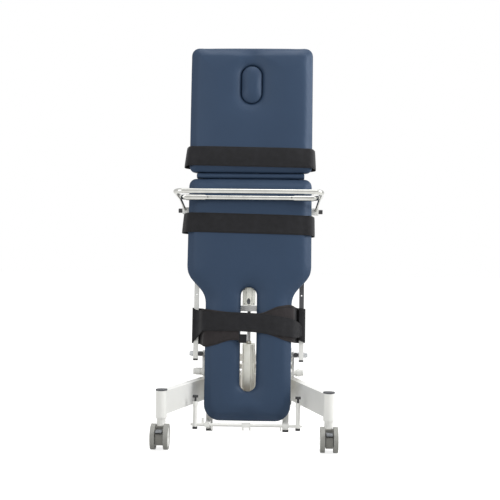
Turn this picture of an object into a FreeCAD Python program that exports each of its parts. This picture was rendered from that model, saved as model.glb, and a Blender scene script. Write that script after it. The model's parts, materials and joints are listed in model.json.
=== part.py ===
import FreeCAD, Part
import math
import os

import Sketcher

# Physiotherapy tilt table, shown upright at the top of its tilt travel.
# X runs to the viewer's right, Y runs back and Z runs up from the floor, in millimetres.
# The origin lies on the floor, midway between the four castors.

doc = FreeCAD.newDocument("tilt_table")
sheet = doc.addObject("Spreadsheet::Sheet", "sizes")

SIZES = {
    # Castors, twin wheels on one swivel housing
    "wheelbase": 1300,
    "front_post_x": 413,
    "rear_post_x": 203,
    "wheel_radius": 62.5,
    "wheel_width": 22,
    "wheel_hub_radius": 46,
    "wheel_hub_depth": 3,
    "castor_width": 86,
    "castor_trail": 38,
    "castor_axle_radius": 6,
    "castor_stem_radius": 22,
    "castor_stem_bottom": 120,
    "castor_pin_radius": 11,
    "castor_pin_length": 32,
    "hood_radius": 52,
    "hood_width": 36,
    "pedal_width": 30,
    "pedal_length": 46,
    "pedal_thickness": 7,
    "pedal_pin_radius": 3,
    "pedal_lift": 34,
    "pedal_travel": 12,
    # Base: posts, splayed arms, rear rails and beams
    "post_radius": 28,
    "post_wall": 3,
    "post_bottom": 148,
    "front_post_top": 283,
    "rear_post_top": 236,
    "post_plug": 36,
    "post_cap_thickness": 6,
    "post_cap_lip": 1,
    "arm_width": 46,
    "arm_wall": 3,
    "arm_bottom": 165,
    "arm_top": 280,
    "cross_beam_share": 0.0231,
    "cross_beam_width": 60,
    "cross_beam_half_length": 237,
    "rail_width": 60,
    "rail_top": 225,
    "rear_beam_width": 50,
    "rear_beam_inset": 90,
    # Lift: two pairs of equal arms, so the carriage stays level
    "lift_arm_share": 0.4,
    "lift_rest_angle": 8,
    "lift_pivot_share": 0.185,
    "lift_pivot_z": 327,
    "lift_spacing_share": 0.2,
    "lift_arm_depth": 38,
    "lift_arm_wall": 3,
    "front_arm_x": 274,
    "front_arm_thickness": 24,
    "rear_arm_x": 168,
    "rear_arm_thickness": 20,
    "lift_shaft_radius": 12.5,
    "lift_bracket_x": 200,
    "lift_bracket_thickness": 12,
    "lift_bracket_reach": 32,
    "lift_lever_share": 0.308,
    "lift_lever_lead_angle": 44,
    "lift_lever_spread_angle": 75,
    "lift_lever_width": 40,
    "lift_lever_thickness": 8,
    "lift_lever_x": 22,
    "lift_anchor_radius": 20,
    "pin_head_radius": 17,
    "pin_head_thickness": 10,
    # Lift actuator
    "lift_motor_radius": 16,
    "lift_motor_share": 0.94,
    "lift_rod_radius": 9,
    "lift_eye_radius": 14,
    "lift_eye_half_width": 13,
    "lift_pin_radius": 6,
    # Carriage between the lift arms and the tilting frame
    "carriage_plate_x": 241,
    "carriage_plate_thickness": 10,
    "carriage_edge": 26,
    "carriage_nose": 18.5,
    "carriage_tube_size": 40,
    "carriage_tube_share": 1.25,
    "carriage_tube_z": 368,
    "tilt_pivot_lead": 19.5,
    "tilt_pivot_z": 424,
    "tilt_stub_radius": 14,
    "tilt_stub_inner_x": 206,
    "tilt_stub_outer_x": 309,
    "tilt_head_radius": 12,
    "tilt_head_thickness": 8,
    "tilt_hanger_x": 42,
    "tilt_hanger_thickness": 8,
    "tilt_hanger_width": 44,
    # Tilt actuator, hung at equal distances from the tilt pivot
    "tilt_lever": 300,
    "tilt_lead_angle": 80,
    "tilt_motor_half_width": 33,
    "tilt_motor_half_depth": 28,
    "tilt_motor_start": 22,
    "tilt_motor_length": 350,
    "tilt_rod_radius": 10,
    "tilt_rod_end_length": 30,
    "tilt_eye_radius": 15,
    "tilt_eye_half_width": 14,
    "tilt_pin_radius": 8,
    "tilt_gland_radius": 15,
    "tilt_gland_length": 14,
    # Tilting frame, in its own lengthwise (u) and depthwise (w) directions
    "rest_tilt_angle": 85,
    "pivot_u": 345,
    "frame_rail_x": 203,
    "frame_rail_width": 40,
    "frame_rail_wall": 3,
    "frame_rail_start": 60,
    "frame_rail_tail": 36,
    "cross_member_depth": 18,
    "cross_member_width": 30,
    "cross_low_u": 100,
    "cross_slot_share": 0.4602,
    "cross_mid_share": 0.663,
    "cross_high_share": 0.9204,
    "hinge_plate_thickness": 8,
    "hinge_plate_size": 76,
    "spine_width": 56,
    "spine_lead": 23,
    "clevis_ear_thickness": 12,
    "clevis_ear_length": 44,
    "board_thickness": 12,
    "board_inset": 12,
    # Pads
    "seat_gap": 0.3,
    "pad_thickness": 60,
    "pad_crown": 6,
    "pad_edge": 14,
    "pad_draw_in": 5,
    "table_length": 2000,
    "torso_half_width": 330,
    "leg_half_width": 228,
    "main_pad_share": 0.641,
    "taper_start_share": 0.475,
    "taper_end_share": 0.6334,
    "leg_corner": 85,
    "torso_corner": 43,
    "neck_gap": 35,
    "head_corner_low": 35,
    "head_corner_high": 45,
    "slot_start": 151,
    "slot_end_share": 0.5468,
    "slot_width": 86,
    "bolster_width": 29,
    "bolster_half_length": 290,
    "bolster_top": 100,
    # Head section
    "head_hinge_lead": 20,
    "head_hinge_w": 2,
    "head_rail_x": 165,
    "head_rail_tail": 9.5,
    "head_rail_width": 30,
    "head_rail_wall": 2.5,
    "head_rail_share": 0.927,
    "head_cross_low_share": 0.2094,
    "head_cross_high_share": 0.905,
    "head_pin_radius": 7,
    "head_pin_inner_x": 148,
    "plug_centre_share": 0.7057,
    "plug_half_length": 103,
    "plug_half_width": 54,
    "plug_gap": 0.5,
    "strut_lever": 186,
    "strut_drop_angle": 18.8,
    "strut_cylinder_radius": 11,
    "strut_cylinder_length": 232,
    "strut_rod_radius": 5,
    "strut_eye_radius": 9,
    "strut_eye_half_width": 6,
    "strut_pin_radius": 4,
    "strut_lug_thickness": 6,
    # Side rails that carry the straps and the handrail
    "strap_rail_gap": 54,
    "strap_rail_width": 25,
    "strap_rail_thickness": 16,
    "strap_rail_start": 319,
    "strap_rail_clear": 10,
    "strap_rail_cap": 10,
    "strap_rail_hole_radius": 4,
    "strap_rail_hole_share": 0.5164,
    "strap_outrigger_low_share": 0.706,
    "rail_clamp_u": 345,
    "rail_clamp_length": 30,
    "rail_knob_radius": 11.5,
    "rail_knob_length": 16,
    "rail_knob_gap": 25,
    # Straps
    "strap_thickness": 4,
    "strap_clearance": 2,
    "chest_strap_share": 0.1179,
    "chest_strap_width": 105,
    "waist_strap_share": 0.8089,
    "waist_strap_width": 105,
    "strap_side_x": 346,
    "knee_strap_share": 0.4056,
    "knee_strap_width": 98,
    "knee_side_gap": 8.5,
    # Handrail
    "handrail_radius": 13,
    "handrail_half_width": 385,
    "handrail_strap_gap": 10.5,
    "handrail_travel": 115,
    "handrail_stop_gap": 2,
    "handrail_rear_w": 140,
    "handrail_front_w": 352,
    "handrail_corner": 34,
    "handrail_sleeve_radius": 16,
    "handrail_sleeve_end": 235,
    "handrail_arm_radius": 7,
    "handrail_arm_x": 352,
    "handrail_arm_drop": 56,
    "handrail_foot_w": 24,
    "handrail_clamp_size": 34,
    "handrail_knob_radius": 12,
    "handrail_knob_length": 22,
    # Foot frame
    "foot_post_size": 33,
    "foot_post_wall": 2.5,
    "foot_post_end": 330,
    "foot_post_start": -50,
    "foot_cap_length": 12,
    "foot_rod_u": -16,
    "foot_rod_w": 150,
    "foot_rod_radius": 8,
    "foot_rod_reach": 49,
    "foot_rod_tip_radius": 6,
    "foot_rod_tip_length": 12,
    "foot_bracket_width": 24,
    "foot_bracket_depth": 22,
    "foot_centre_block": 44,
    "foot_tab_x": 226,
    "foot_tab_width": 12,
    "foot_tab_length": 34,
    "foot_strut_gap": 38,
    "foot_strut_radius": 11,
    "foot_strut_start": -27,
    "foot_strut_end": 102,
    "foot_strut_cap": 12,
    "foot_collar_radius": 13,
    "foot_collar_length": 24,
    "foot_tee_radius": 7,
    "foot_tee_half_length": 14,
    "foot_tee_stem": 26,
    "foot_hook_inner_x": 18,
    "foot_hook_outer_x": 177,
    "foot_hook_thickness": 8,
    "foot_hook_reach": 26,
    # Fits
    "running_gap": 0.05,
    "slide_gap": 0.5,
    "side_gap": 1,
    "overrun": 5,
}

for row, (name, value) in enumerate(SIZES.items(), start=1):
    sheet.set(f"A{row}", name)
    sheet.set(f"B{row}", str(value))
    sheet.setAlias(f"B{row}", name)
doc.recompute()


class Size:
    """A length or an angle that knows its value and its formula in the sheet."""

    def __init__(self, value, formula):
        self.value = float(value)
        self.formula = formula

    def __float__(self):
        return self.value

    def __add__(self, other):
        other = size_of(other)
        return Size(self.value + other.value, f"({self.formula} + {other.formula})")

    def __radd__(self, other):
        return size_of(other) + self

    def __sub__(self, other):
        other = size_of(other)
        return Size(self.value - other.value, f"({self.formula} - {other.formula})")

    def __rsub__(self, other):
        return size_of(other) - self

    def __mul__(self, other):
        other = size_of(other)
        return Size(self.value * other.value, f"({self.formula} * {other.formula})")

    def __rmul__(self, other):
        return size_of(other) * self

    def __truediv__(self, other):
        other = size_of(other)
        return Size(self.value / other.value, f"({self.formula} / {other.formula})")

    def __neg__(self):
        return Size(-self.value, f"(0 - {self.formula})")


def size_of(number):
    if isinstance(number, Size):
        return number
    if number < 0:
        return Size(number, f"(0 - {-number!r})")
    return Size(number, repr(number))


def cosine(angle):
    angle = size_of(angle)
    return Size(math.cos(math.radians(angle.value)), f"cos({angle.formula})")


def sine(angle):
    angle = size_of(angle)
    return Size(math.sin(math.radians(angle.value)), f"sin({angle.formula})")


def angle_between(rise, run):
    rise, run = size_of(rise), size_of(run)
    value = math.degrees(math.atan(rise.value / run.value))
    return Size(value, f"atan({rise.formula} / {run.formula})")


class Sheet:
    """Every named size of the sheet as an attribute."""


s = Sheet()
for name in SIZES:
    setattr(s, name, Size(sheet.get(name), f"sizes.{name}"))

# Lift places that follow the wheelbase
s.lift_arm_length = s.wheelbase * s.lift_arm_share
s.lift_pivot_y = -(s.wheelbase * s.lift_pivot_share)
s.lift_pivot_spacing = s.wheelbase * s.lift_spacing_share
s.lift_lever_length = s.lift_arm_length * s.lift_lever_share
s.lift_motor_length = s.lift_lever_length * s.lift_motor_share
s.cross_beam_y = s.wheelbase * s.cross_beam_share
s.carriage_tube_y = s.lift_pivot_y + s.lift_pivot_spacing * s.carriage_tube_share
s.tilt_pivot_y = s.lift_pivot_y - s.tilt_pivot_lead

# Places along the table that follow its length
s.main_pad_length = s.table_length * s.main_pad_share
s.head_pad_start = s.main_pad_length + s.neck_gap
s.head_length = s.table_length - s.head_pad_start
s.bolster_centre_u = s.main_pad_length + s.neck_gap / 2
s.head_hinge_u = s.main_pad_length + s.head_hinge_lead
s.frame_rail_end = s.main_pad_length + s.frame_rail_tail
s.strap_rail_end = s.main_pad_length - s.strap_rail_clear
s.spine_start = s.pivot_u + s.tilt_lever + s.spine_lead
for name in (
    "cross_slot_u",
    "cross_mid_u",
    "cross_high_u",
    "taper_start",
    "taper_end",
    "slot_end",
    "strap_rail_hole_u",
    "strap_outrigger_low_u",
    "waist_strap_u",
    "knee_strap_u",
):
    share = getattr(s, name.removesuffix("_u") + "_share")
    setattr(s, name, s.main_pad_length * share)
for name in ("chest_strap_u", "plug_centre_u", "head_cross_low_u", "head_cross_high_u"):
    share = getattr(s, name.removesuffix("_u") + "_share")
    setattr(s, name, s.head_pad_start + s.head_length * share)
s.head_rail_end = s.head_pad_start + s.head_length * s.head_rail_share
s.handrail_u = (
    s.waist_strap_u
    + s.waist_strap_width / 2
    + s.handrail_clamp_size / 2
    + s.handrail_arm_drop
    + s.handrail_strap_gap
)
s.strap_outrigger_high_u = (
    s.handrail_u
    - s.handrail_arm_drop
    + s.handrail_clamp_size / 2
    + s.handrail_travel
    + s.handrail_stop_gap
    + s.cross_member_width / 2
)

# Places across the table that follow the width at the legs
s.strap_rail_x = s.leg_half_width + s.strap_rail_gap
s.rail_knob_x = s.leg_half_width + s.rail_knob_gap
s.knee_side_x = s.strap_rail_x + s.strap_rail_width / 2 + s.knee_side_gap
s.foot_strut_x = s.leg_half_width + s.foot_strut_gap
s.foot_rod_half_length = s.leg_half_width + s.foot_rod_reach

AXES = {"x": (1, 0, 0), "y": (0, 1, 0), "z": (0, 0, 1)}
pieces = []


def bind(thing, field, amount):
    thing.setExpression(field, size_of(amount).formula)


def place(thing, at, axis="z", angle=0):
    """Sets a bound position, and a turn about one axis."""
    turn = FreeCAD.Rotation(FreeCAD.Vector(*AXES[axis]), 1)
    thing.Placement = FreeCAD.Placement(FreeCAD.Vector(0, 0, 0), turn)
    for field, amount in zip("xyz", at):
        bind(thing, f"Placement.Base.{field}", amount)
    for field, amount in zip("xyz", AXES[axis]):
        bind(thing, f"Placement.Rotation.Axis.{field}", amount)
    bind(thing, "Placement.Rotation.Angle", angle)
    return thing


def box(name, lengths, centre, axis="z", angle=0):
    """A block about its centre, turned about its centre."""
    thing = doc.addObject("Part::Box", name)
    for field, amount in zip(("Length", "Width", "Height"), lengths):
        bind(thing, field, amount)
    half = [size_of(amount) / 2 for amount in lengths]
    c, n = cosine(angle), sine(angle)
    if axis == "z":
        shift = [half[0] * c - half[1] * n, half[0] * n + half[1] * c, half[2]]
    elif axis == "x":
        shift = [half[0], half[1] * c - half[2] * n, half[1] * n + half[2] * c]
    else:
        shift = [half[0] * c + half[2] * n, half[1], half[2] * c - half[0] * n]
    at = [size_of(a) - b for a, b in zip(centre, shift)]
    return place(thing, at, axis, angle)


def cylinder(name, radius, length, start, axis="z"):
    """A round bar from its start, along one axis."""
    thing = doc.addObject("Part::Cylinder", name)
    bind(thing, "Radius", radius)
    bind(thing, "Height", length)
    if axis == "z":
        return place(thing, start)
    if axis == "x":
        return place(thing, start, "y", 90)
    return place(thing, start, "x", -90)


def leaning_cylinder(name, radius, length, start, angle):
    """A round bar from its start, leaning in the YZ plane, angle measured from +Y up to +Z."""
    thing = doc.addObject("Part::Cylinder", name)
    bind(thing, "Radius", radius)
    bind(thing, "Height", length)
    return place(thing, start, "x", size_of(angle) - 90)


def fuse(name, things):
    thing = doc.addObject("Part::MultiFuse", name)
    thing.Shapes = things
    return thing


def group(name, things):
    thing = doc.addObject("Part::Compound", name)
    thing.Links = things
    return thing


def cut(name, base, tools):
    tool = tools[0] if len(tools) == 1 else fuse(name + "_tools", tools)
    thing = doc.addObject("Part::Cut", name)
    thing.Base = base
    thing.Tool = tool
    return thing


def square_tube(name, lengths, wall, centre, axis="z", angle=0):
    """A closed box section with its walls all round."""
    outer = box(name + "_outer", lengths, centre, axis, angle)
    inner = [size_of(amount) - 2 * wall for amount in lengths]
    return cut(name, outer, [box(name + "_inner", inner, centre, axis, angle)])


def mirrored(name, source):
    """The same piece on the other side of the centre plane."""
    thing = doc.addObject("Part::Mirroring", name)
    thing.Source = source
    thing.Normal = FreeCAD.Vector(1, 0, 0)
    return thing


def piece(label, thing):
    thing.Label = label
    pieces.append(thing)
    return thing


def on_frame(thing):
    """Carries a piece drawn in the frame's x, u and w to the frame's place at rest."""
    place(
        thing,
        [
            0,
            s.tilt_pivot_y - s.pivot_u * cosine(s.rest_tilt_angle),
            s.tilt_pivot_z - s.pivot_u * sine(s.rest_tilt_angle),
        ],
        "x",
        s.rest_tilt_angle,
    )
    return thing


def outline_body(name, plane, points, depth, start, holes=()):
    """A plate padded from a sketch: points and holes lie in the plane, start lies along its normal."""
    body = doc.addObject("PartDesign::Body", name)
    sketch = body.newObject("Sketcher::SketchObject", name + "_sketch")
    origin = [o for o in body.Origin.OriginFeatures if o.Role == plane][0]
    sketch.AttachmentSupport = [(origin, "")]
    sketch.MapMode = "FlatFace"
    count = len(points)
    vectors = [FreeCAD.Vector(float(size_of(a)), float(size_of(b)), 0) for a, b in points]
    for i in range(count):
        sketch.addGeometry(Part.LineSegment(vectors[i], vectors[(i + 1) % count]), False)
    for i in range(count):
        sketch.addConstraint(Sketcher.Constraint("Coincident", i, 2, (i + 1) % count, 1))
    for i, (a, b) in enumerate(points):
        for kind, amount in (("DistanceX", size_of(a)), ("DistanceY", size_of(b))):
            rule = Sketcher.Constraint(kind, -1, 1, i, 1, amount.value)
            number = sketch.addConstraint(rule)
            sketch.setExpression(f"Constraints[{number}]", amount.formula)
    for i, (a, b, radius) in enumerate(holes):
        a, b, radius = size_of(a), size_of(b), size_of(radius)
        middle = FreeCAD.Vector(a.value, b.value, 0)
        circle = Part.Circle(middle, FreeCAD.Vector(0, 0, 1), radius.value)
        edge = sketch.addGeometry(circle, False)
        for kind, amount in (("DistanceX", a), ("DistanceY", b)):
            number = sketch.addConstraint(
                Sketcher.Constraint(kind, -1, 1, edge, 3, amount.value)
            )
            sketch.setExpression(f"Constraints[{number}]", amount.formula)
        number = sketch.addConstraint(Sketcher.Constraint("Radius", edge, radius.value))
        sketch.setExpression(f"Constraints[{number}]", radius.formula)
    bind(sketch, "AttachmentOffset.Base.z", start)
    pad = body.newObject("PartDesign::Pad", name + "_pad")
    pad.Profile = sketch
    pad.Type = "Length"
    bind(pad, "Length", depth)
    body.Tip = pad
    return body


# Places worked out from the sizes
front_y = -s.wheelbase / 2
rear_y = s.wheelbase / 2
arm_turn = angle_between(
    s.front_post_x - s.rear_post_x,
    s.cross_beam_y - s.cross_beam_width / 2 - front_y,
)
beam_front = s.cross_beam_y - s.cross_beam_width / 2
lift_base_y = s.lift_pivot_y + s.lift_arm_length * cosine(s.lift_rest_angle)
lift_base_z = s.lift_pivot_z - s.lift_arm_length * sine(s.lift_rest_angle)
rail_half = s.frame_rail_width / 2
board_w = rail_half + s.cross_member_depth
pad_w = board_w + s.board_thickness + s.seat_gap
pad_top = pad_w + s.pad_thickness

# Base
for side, sign in (("left", -1), ("right", 1)):
    length = (beam_front - front_y) / cosine(arm_turn)
    middle = [
        sign * (s.front_post_x + s.rear_post_x) / 2,
        (front_y + beam_front) / 2,
        (s.arm_bottom + s.arm_top) / 2,
    ]
    arm = square_tube(
        f"base_arm_{side}_tube",
        [s.arm_width, length + s.arm_width, s.arm_top - s.arm_bottom],
        s.arm_wall,
        middle,
        "z",
        sign * arm_turn,
    )
    post_room = cylinder(
        f"base_arm_{side}_post_room",
        s.post_radius,
        s.arm_top,
        [sign * s.front_post_x, front_y, 0],
    )
    beyond = box(
        f"base_arm_{side}_front_room",
        [s.arm_width * 2, s.arm_width * 2, s.arm_top],
        [sign * s.front_post_x, front_y - s.arm_width, s.arm_top / 2 + s.arm_bottom / 2],
    )
    beam_room = box(
        f"base_arm_{side}_beam_room",
        [s.arm_width * 4, s.cross_beam_width * 2, s.arm_top],
        [
            sign * s.rear_post_x,
            beam_front + s.cross_beam_width,
            s.arm_top / 2 + s.arm_bottom / 2,
        ],
    )
    piece(
        f"base_arm_{side}",
        cut(f"base_arm_{side}", arm, [post_room, beyond, beam_room]),
    )

cross_beam = square_tube(
    "base_cross_beam_tube",
    [2 * s.cross_beam_half_length, s.cross_beam_width, s.arm_top - s.arm_bottom],
    s.arm_wall,
    [0, s.cross_beam_y, (s.arm_bottom + s.arm_top) / 2],
)
rail_start = s.cross_beam_y + s.cross_beam_width / 2
for side, sign in (("left", -1), ("right", 1)):
    rail = square_tube(
        f"base_rail_{side}_tube",
        [s.rail_width, rear_y - rail_start, s.rail_top - s.arm_bottom],
        s.arm_wall,
        [sign * s.rear_post_x, (rear_y + rail_start) / 2, (s.arm_bottom + s.rail_top) / 2],
    )
    room = cylinder(
        f"base_rail_{side}_post_room",
        s.post_radius,
        s.arm_top,
        [sign * s.rear_post_x, rear_y, 0],
    )
    piece(f"base_rail_{side}", cut(f"base_rail_{side}", rail, [room]))
piece(
    "base_rear_beam",
    square_tube(
        "base_rear_beam",
        [
            2 * s.rear_post_x - s.rail_width,
            s.rear_beam_width,
            s.rail_top - s.arm_bottom,
        ],
        s.arm_wall,
        [0, rear_y - s.rear_beam_inset, (s.arm_bottom + s.rail_top) / 2],
    ),
)


def post(name, x, y, top):
    """A tube post, plugged at its foot with the castor's bore and closed at its head."""
    outer = cylinder(name + "_outer", s.post_radius, top - s.post_bottom, [x, y, s.post_bottom])
    plug_top = s.post_bottom + s.post_plug
    inner = cylinder(
        name + "_inner",
        s.post_radius - s.post_wall,
        top - s.post_wall - plug_top,
        [x, y, plug_top],
    )
    bore = cylinder(
        name + "_bore",
        s.castor_pin_radius + s.running_gap,
        s.castor_pin_length + s.side_gap + s.overrun,
        [x, y, s.post_bottom - s.overrun],
    )
    return cut(name, outer, [inner, bore])


def post_cap(name, x, y, top):
    return cylinder(name, s.post_radius + s.post_cap_lip, s.post_cap_thickness, [x, y, top])


piece(
    "base_posts",
    group(
        "base_posts",
        [
            post("front_post_left", -s.front_post_x, front_y, s.front_post_top),
            post("front_post_right", s.front_post_x, front_y, s.front_post_top),
            post("rear_post_left", -s.rear_post_x, rear_y, s.rear_post_top),
            post("rear_post_right", s.rear_post_x, rear_y, s.rear_post_top),
        ],
    ),
)
piece(
    "post_caps",
    group(
        "post_caps",
        [
            post_cap("cap_front_left", -s.front_post_x, front_y, s.front_post_top),
            post_cap("cap_front_right", s.front_post_x, front_y, s.front_post_top),
            post_cap("cap_rear_left", -s.rear_post_x, rear_y, s.rear_post_top),
            post_cap("cap_rear_right", s.rear_post_x, rear_y, s.rear_post_top),
        ],
    ),
)

bracket_top = lift_base_z + s.lift_bracket_reach
bracket_points = [
    (lift_base_y - 2 * s.lift_bracket_reach, s.rail_top),
    (lift_base_y + s.lift_pivot_spacing + s.lift_bracket_reach * 2, s.rail_top),
    (lift_base_y + s.lift_pivot_spacing + s.lift_bracket_reach, bracket_top),
    (lift_base_y - s.lift_bracket_reach, bracket_top),
]
bracket_holes = [
    (lift_base_y, lift_base_z, s.lift_shaft_radius + s.running_gap),
    (lift_base_y + s.lift_pivot_spacing, lift_base_z, s.lift_shaft_radius + s.running_gap),
]
right_bracket = outline_body(
    "lift_bracket_right",
    "YZ_Plane",
    bracket_points,
    s.lift_bracket_thickness,
    s.lift_bracket_x - s.lift_bracket_thickness / 2,
    bracket_holes,
)
left_bracket = mirrored("lift_bracket_left", right_bracket)
piece("lift_brackets", group("lift_brackets", [right_bracket, left_bracket]))


# Castors
def castor(tag, x, y, ahead):
    """ahead is the side of the post, along Y, on which the axle trails."""
    axle_y = y + ahead * s.castor_trail
    wheel_x = s.castor_width / 2 - s.wheel_width
    hood = cylinder(
        f"castor_{tag}_hood_round",
        s.hood_radius,
        s.hood_width,
        [x - s.hood_width / 2, axle_y, s.wheel_radius],
        "x",
    )
    pedal_floor = (
        s.wheel_radius
        + s.pedal_lift
        - s.pedal_thickness / 2
        - s.pedal_length * sine(s.pedal_travel)
        - s.side_gap
    )
    low = box(
        f"castor_{tag}_hood_low_room",
        [s.hood_width * 2, s.hood_radius * 3, s.hood_radius],
        [x, axle_y, s.wheel_radius / 3 - s.hood_radius / 2 + s.castor_axle_radius],
    )
    pedal_room = box(
        f"castor_{tag}_pedal_room",
        [s.pedal_width + 2 * s.side_gap, s.pedal_length * 2, s.hood_radius],
        [
            x,
            axle_y + ahead * (s.pedal_length + s.castor_axle_radius * 2),
            pedal_floor + s.hood_radius / 2,
        ],
    )
    shell = cut(f"castor_{tag}_hood", hood, [low, pedal_room])
    stem = cylinder(
        f"castor_{tag}_stem",
        s.castor_stem_radius,
        s.post_bottom - s.castor_stem_bottom,
        [x, y, s.castor_stem_bottom],
    )
    neck = box(
        f"castor_{tag}_neck",
        [s.hood_width, s.castor_stem_radius * 2, s.castor_stem_bottom - s.wheel_radius],
        [x, y, (s.castor_stem_bottom + s.wheel_radius) / 2],
    )
    pin = cylinder(
        f"castor_{tag}_pin", s.castor_pin_radius, s.castor_pin_length, [x, y, s.post_bottom]
    )
    axle = cylinder(
        f"castor_{tag}_axle",
        s.castor_axle_radius,
        s.castor_width - 2 * s.wheel_hub_depth,
        [x - s.castor_width / 2 + s.wheel_hub_depth, axle_y, s.wheel_radius],
        "x",
    )
    hinge_y = axle_y + ahead * s.castor_axle_radius * 4
    hinge_z = s.wheel_radius + s.pedal_lift
    pedal_pin = cylinder(
        f"castor_{tag}_pedal_pin",
        s.pedal_pin_radius,
        s.hood_width,
        [x - s.hood_width / 2, hinge_y, hinge_z],
        "x",
    )
    piece(
        f"castor_{tag}_housing",
        fuse(f"castor_{tag}_housing", [shell, stem, neck, pin, axle, pedal_pin]),
    )
    wheels = []
    for side, inner in (("a", x - s.castor_width / 2), ("b", x + wheel_x)):
        tyre = cylinder(
            f"castor_{tag}_tyre_{side}",
            s.wheel_radius,
            s.wheel_width,
            [inner, axle_y, s.wheel_radius],
            "x",
        )
        outer = inner - s.overrun if side == "a" else inner + s.wheel_width - s.wheel_hub_depth
        dish = cylinder(
            f"castor_{tag}_dish_{side}",
            s.wheel_hub_radius,
            s.wheel_hub_depth + s.overrun,
            [outer, axle_y, s.wheel_radius],
            "x",
        )
        bore = cylinder(
            f"castor_{tag}_wheel_bore_{side}",
            s.castor_axle_radius + s.running_gap,
            s.wheel_width + 2 * s.overrun,
            [inner - s.overrun, axle_y, s.wheel_radius],
            "x",
        )
        wheels.append(cut(f"castor_{tag}_wheel_{side}", tyre, [dish, bore]))
    piece(f"castor_{tag}_wheels", group(f"castor_{tag}_wheels", wheels))
    tread = box(
        f"castor_{tag}_tread",
        [s.pedal_width, s.pedal_length, s.pedal_thickness],
        [x, hinge_y + ahead * s.pedal_length / 2, hinge_z],
    )
    barrel = cylinder(
        f"castor_{tag}_barrel",
        s.pedal_thickness / 2 + s.pedal_pin_radius / 2,
        s.pedal_width,
        [x - s.pedal_width / 2, hinge_y, hinge_z],
        "x",
    )
    pedal_bore = cylinder(
        f"castor_{tag}_pedal_bore",
        s.pedal_pin_radius + s.running_gap,
        s.hood_width * 2,
        [x - s.hood_width, hinge_y, hinge_z],
        "x",
    )
    pedal = fuse(f"castor_{tag}_pedal_whole", [tread, barrel])
    piece(f"castor_{tag}_pedal", cut(f"castor_{tag}_pedal", pedal, [pedal_bore]))


castor("front_left", -s.front_post_x, front_y, -1)
castor("front_right", s.front_post_x, front_y, -1)
castor("rear_left", -s.rear_post_x, rear_y, 1)
castor("rear_right", s.rear_post_x, rear_y, 1)


# Lift arms: each pair is welded to one shaft that turns in the base brackets
def arm_bar(name, x, thickness, y_shift, end_bore):
    """One lift arm from the base shaft to its upper pivot, at the rest angle."""
    c, n = cosine(s.lift_rest_angle), sine(s.lift_rest_angle)
    low = [lift_base_y + y_shift, lift_base_z]
    high = [s.lift_pivot_y + y_shift, s.lift_pivot_z]
    bar = square_tube(
        name + "_bar",
        [thickness, s.lift_arm_length, s.lift_arm_depth],
        s.lift_arm_wall,
        [x, (low[0] + high[0]) / 2, (low[1] + high[1]) / 2],
        "x",
        -s.lift_rest_angle,
    )
    ends = []
    for tag, (y, z) in (("low", low), ("high", high)):
        ends.append(
            cylinder(
                f"{name}_{tag}_end", s.lift_arm_depth / 2, thickness, [x - thickness / 2, y, z], "x"
            )
        )
    whole = fuse(name + "_whole", [bar] + ends)
    bore = cylinder(
        name + "_bore", end_bore, thickness * 2, [x - thickness, high[0], high[1]], "x"
    )
    return cut(name, whole, [bore])


front_bore = s.lift_shaft_radius + s.running_gap
front_parts = []
for side, sign in (("left", -1), ("right", 1)):
    front_parts.append(
        arm_bar(f"front_arm_{side}", sign * s.front_arm_x, s.front_arm_thickness, 0, front_bore)
    )
front_parts.append(
    cylinder(
        "front_shaft",
        s.lift_shaft_radius,
        2 * s.front_arm_x,
        [-s.front_arm_x, lift_base_y, lift_base_z],
        "x",
    )
)
lever_dir = 180 - s.lift_rest_angle - s.lift_lever_lead_angle
lever_tip = [
    lift_base_y + s.lift_lever_length * cosine(lever_dir),
    lift_base_z + s.lift_lever_length * sine(lever_dir),
]
for side, sign in (("left", -1), ("right", 1)):
    x = sign * s.lift_lever_x
    plate = box(
        f"lever_{side}_plate",
        [s.lift_lever_thickness, s.lift_lever_length, s.lift_lever_width],
        [x, (lift_base_y + lever_tip[0]) / 2, (lift_base_z + lever_tip[1]) / 2],
        "x",
        lever_dir,
    )
    ends = [
        cylinder(
            f"lever_{side}_{tag}",
            s.lift_lever_width / 2,
            s.lift_lever_thickness,
            [x - s.lift_lever_thickness / 2, y, z],
            "x",
        )
        for tag, y, z in (
            ("root", lift_base_y, lift_base_z),
            ("tip", lever_tip[0], lever_tip[1]),
        )
    ]
    front_parts.append(fuse(f"lever_{side}", [plate] + ends))
front_parts.append(
    cylinder(
        "lever_pin",
        s.lift_pin_radius,
        2 * s.lift_lever_x,
        [-s.lift_lever_x, lever_tip[0], lever_tip[1]],
        "x",
    )
)
piece("front_lift_frame", fuse("front_lift_frame", front_parts))

rear_parts = []
for side, sign in (("left", -1), ("right", 1)):
    rear_parts.append(
        arm_bar(
            f"rear_arm_{side}",
            sign * s.rear_arm_x,
            s.rear_arm_thickness,
            s.lift_pivot_spacing,
            s.lift_shaft_radius + s.slide_gap,
        )
    )
rear_reach = s.lift_bracket_x + s.lift_bracket_thickness
rear_parts.append(
    cylinder(
        "rear_shaft",
        s.lift_shaft_radius,
        2 * rear_reach,
        [-rear_reach, lift_base_y + s.lift_pivot_spacing, lift_base_z],
        "x",
    )
)
piece("rear_lift_frame", fuse("rear_lift_frame", rear_parts))

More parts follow.
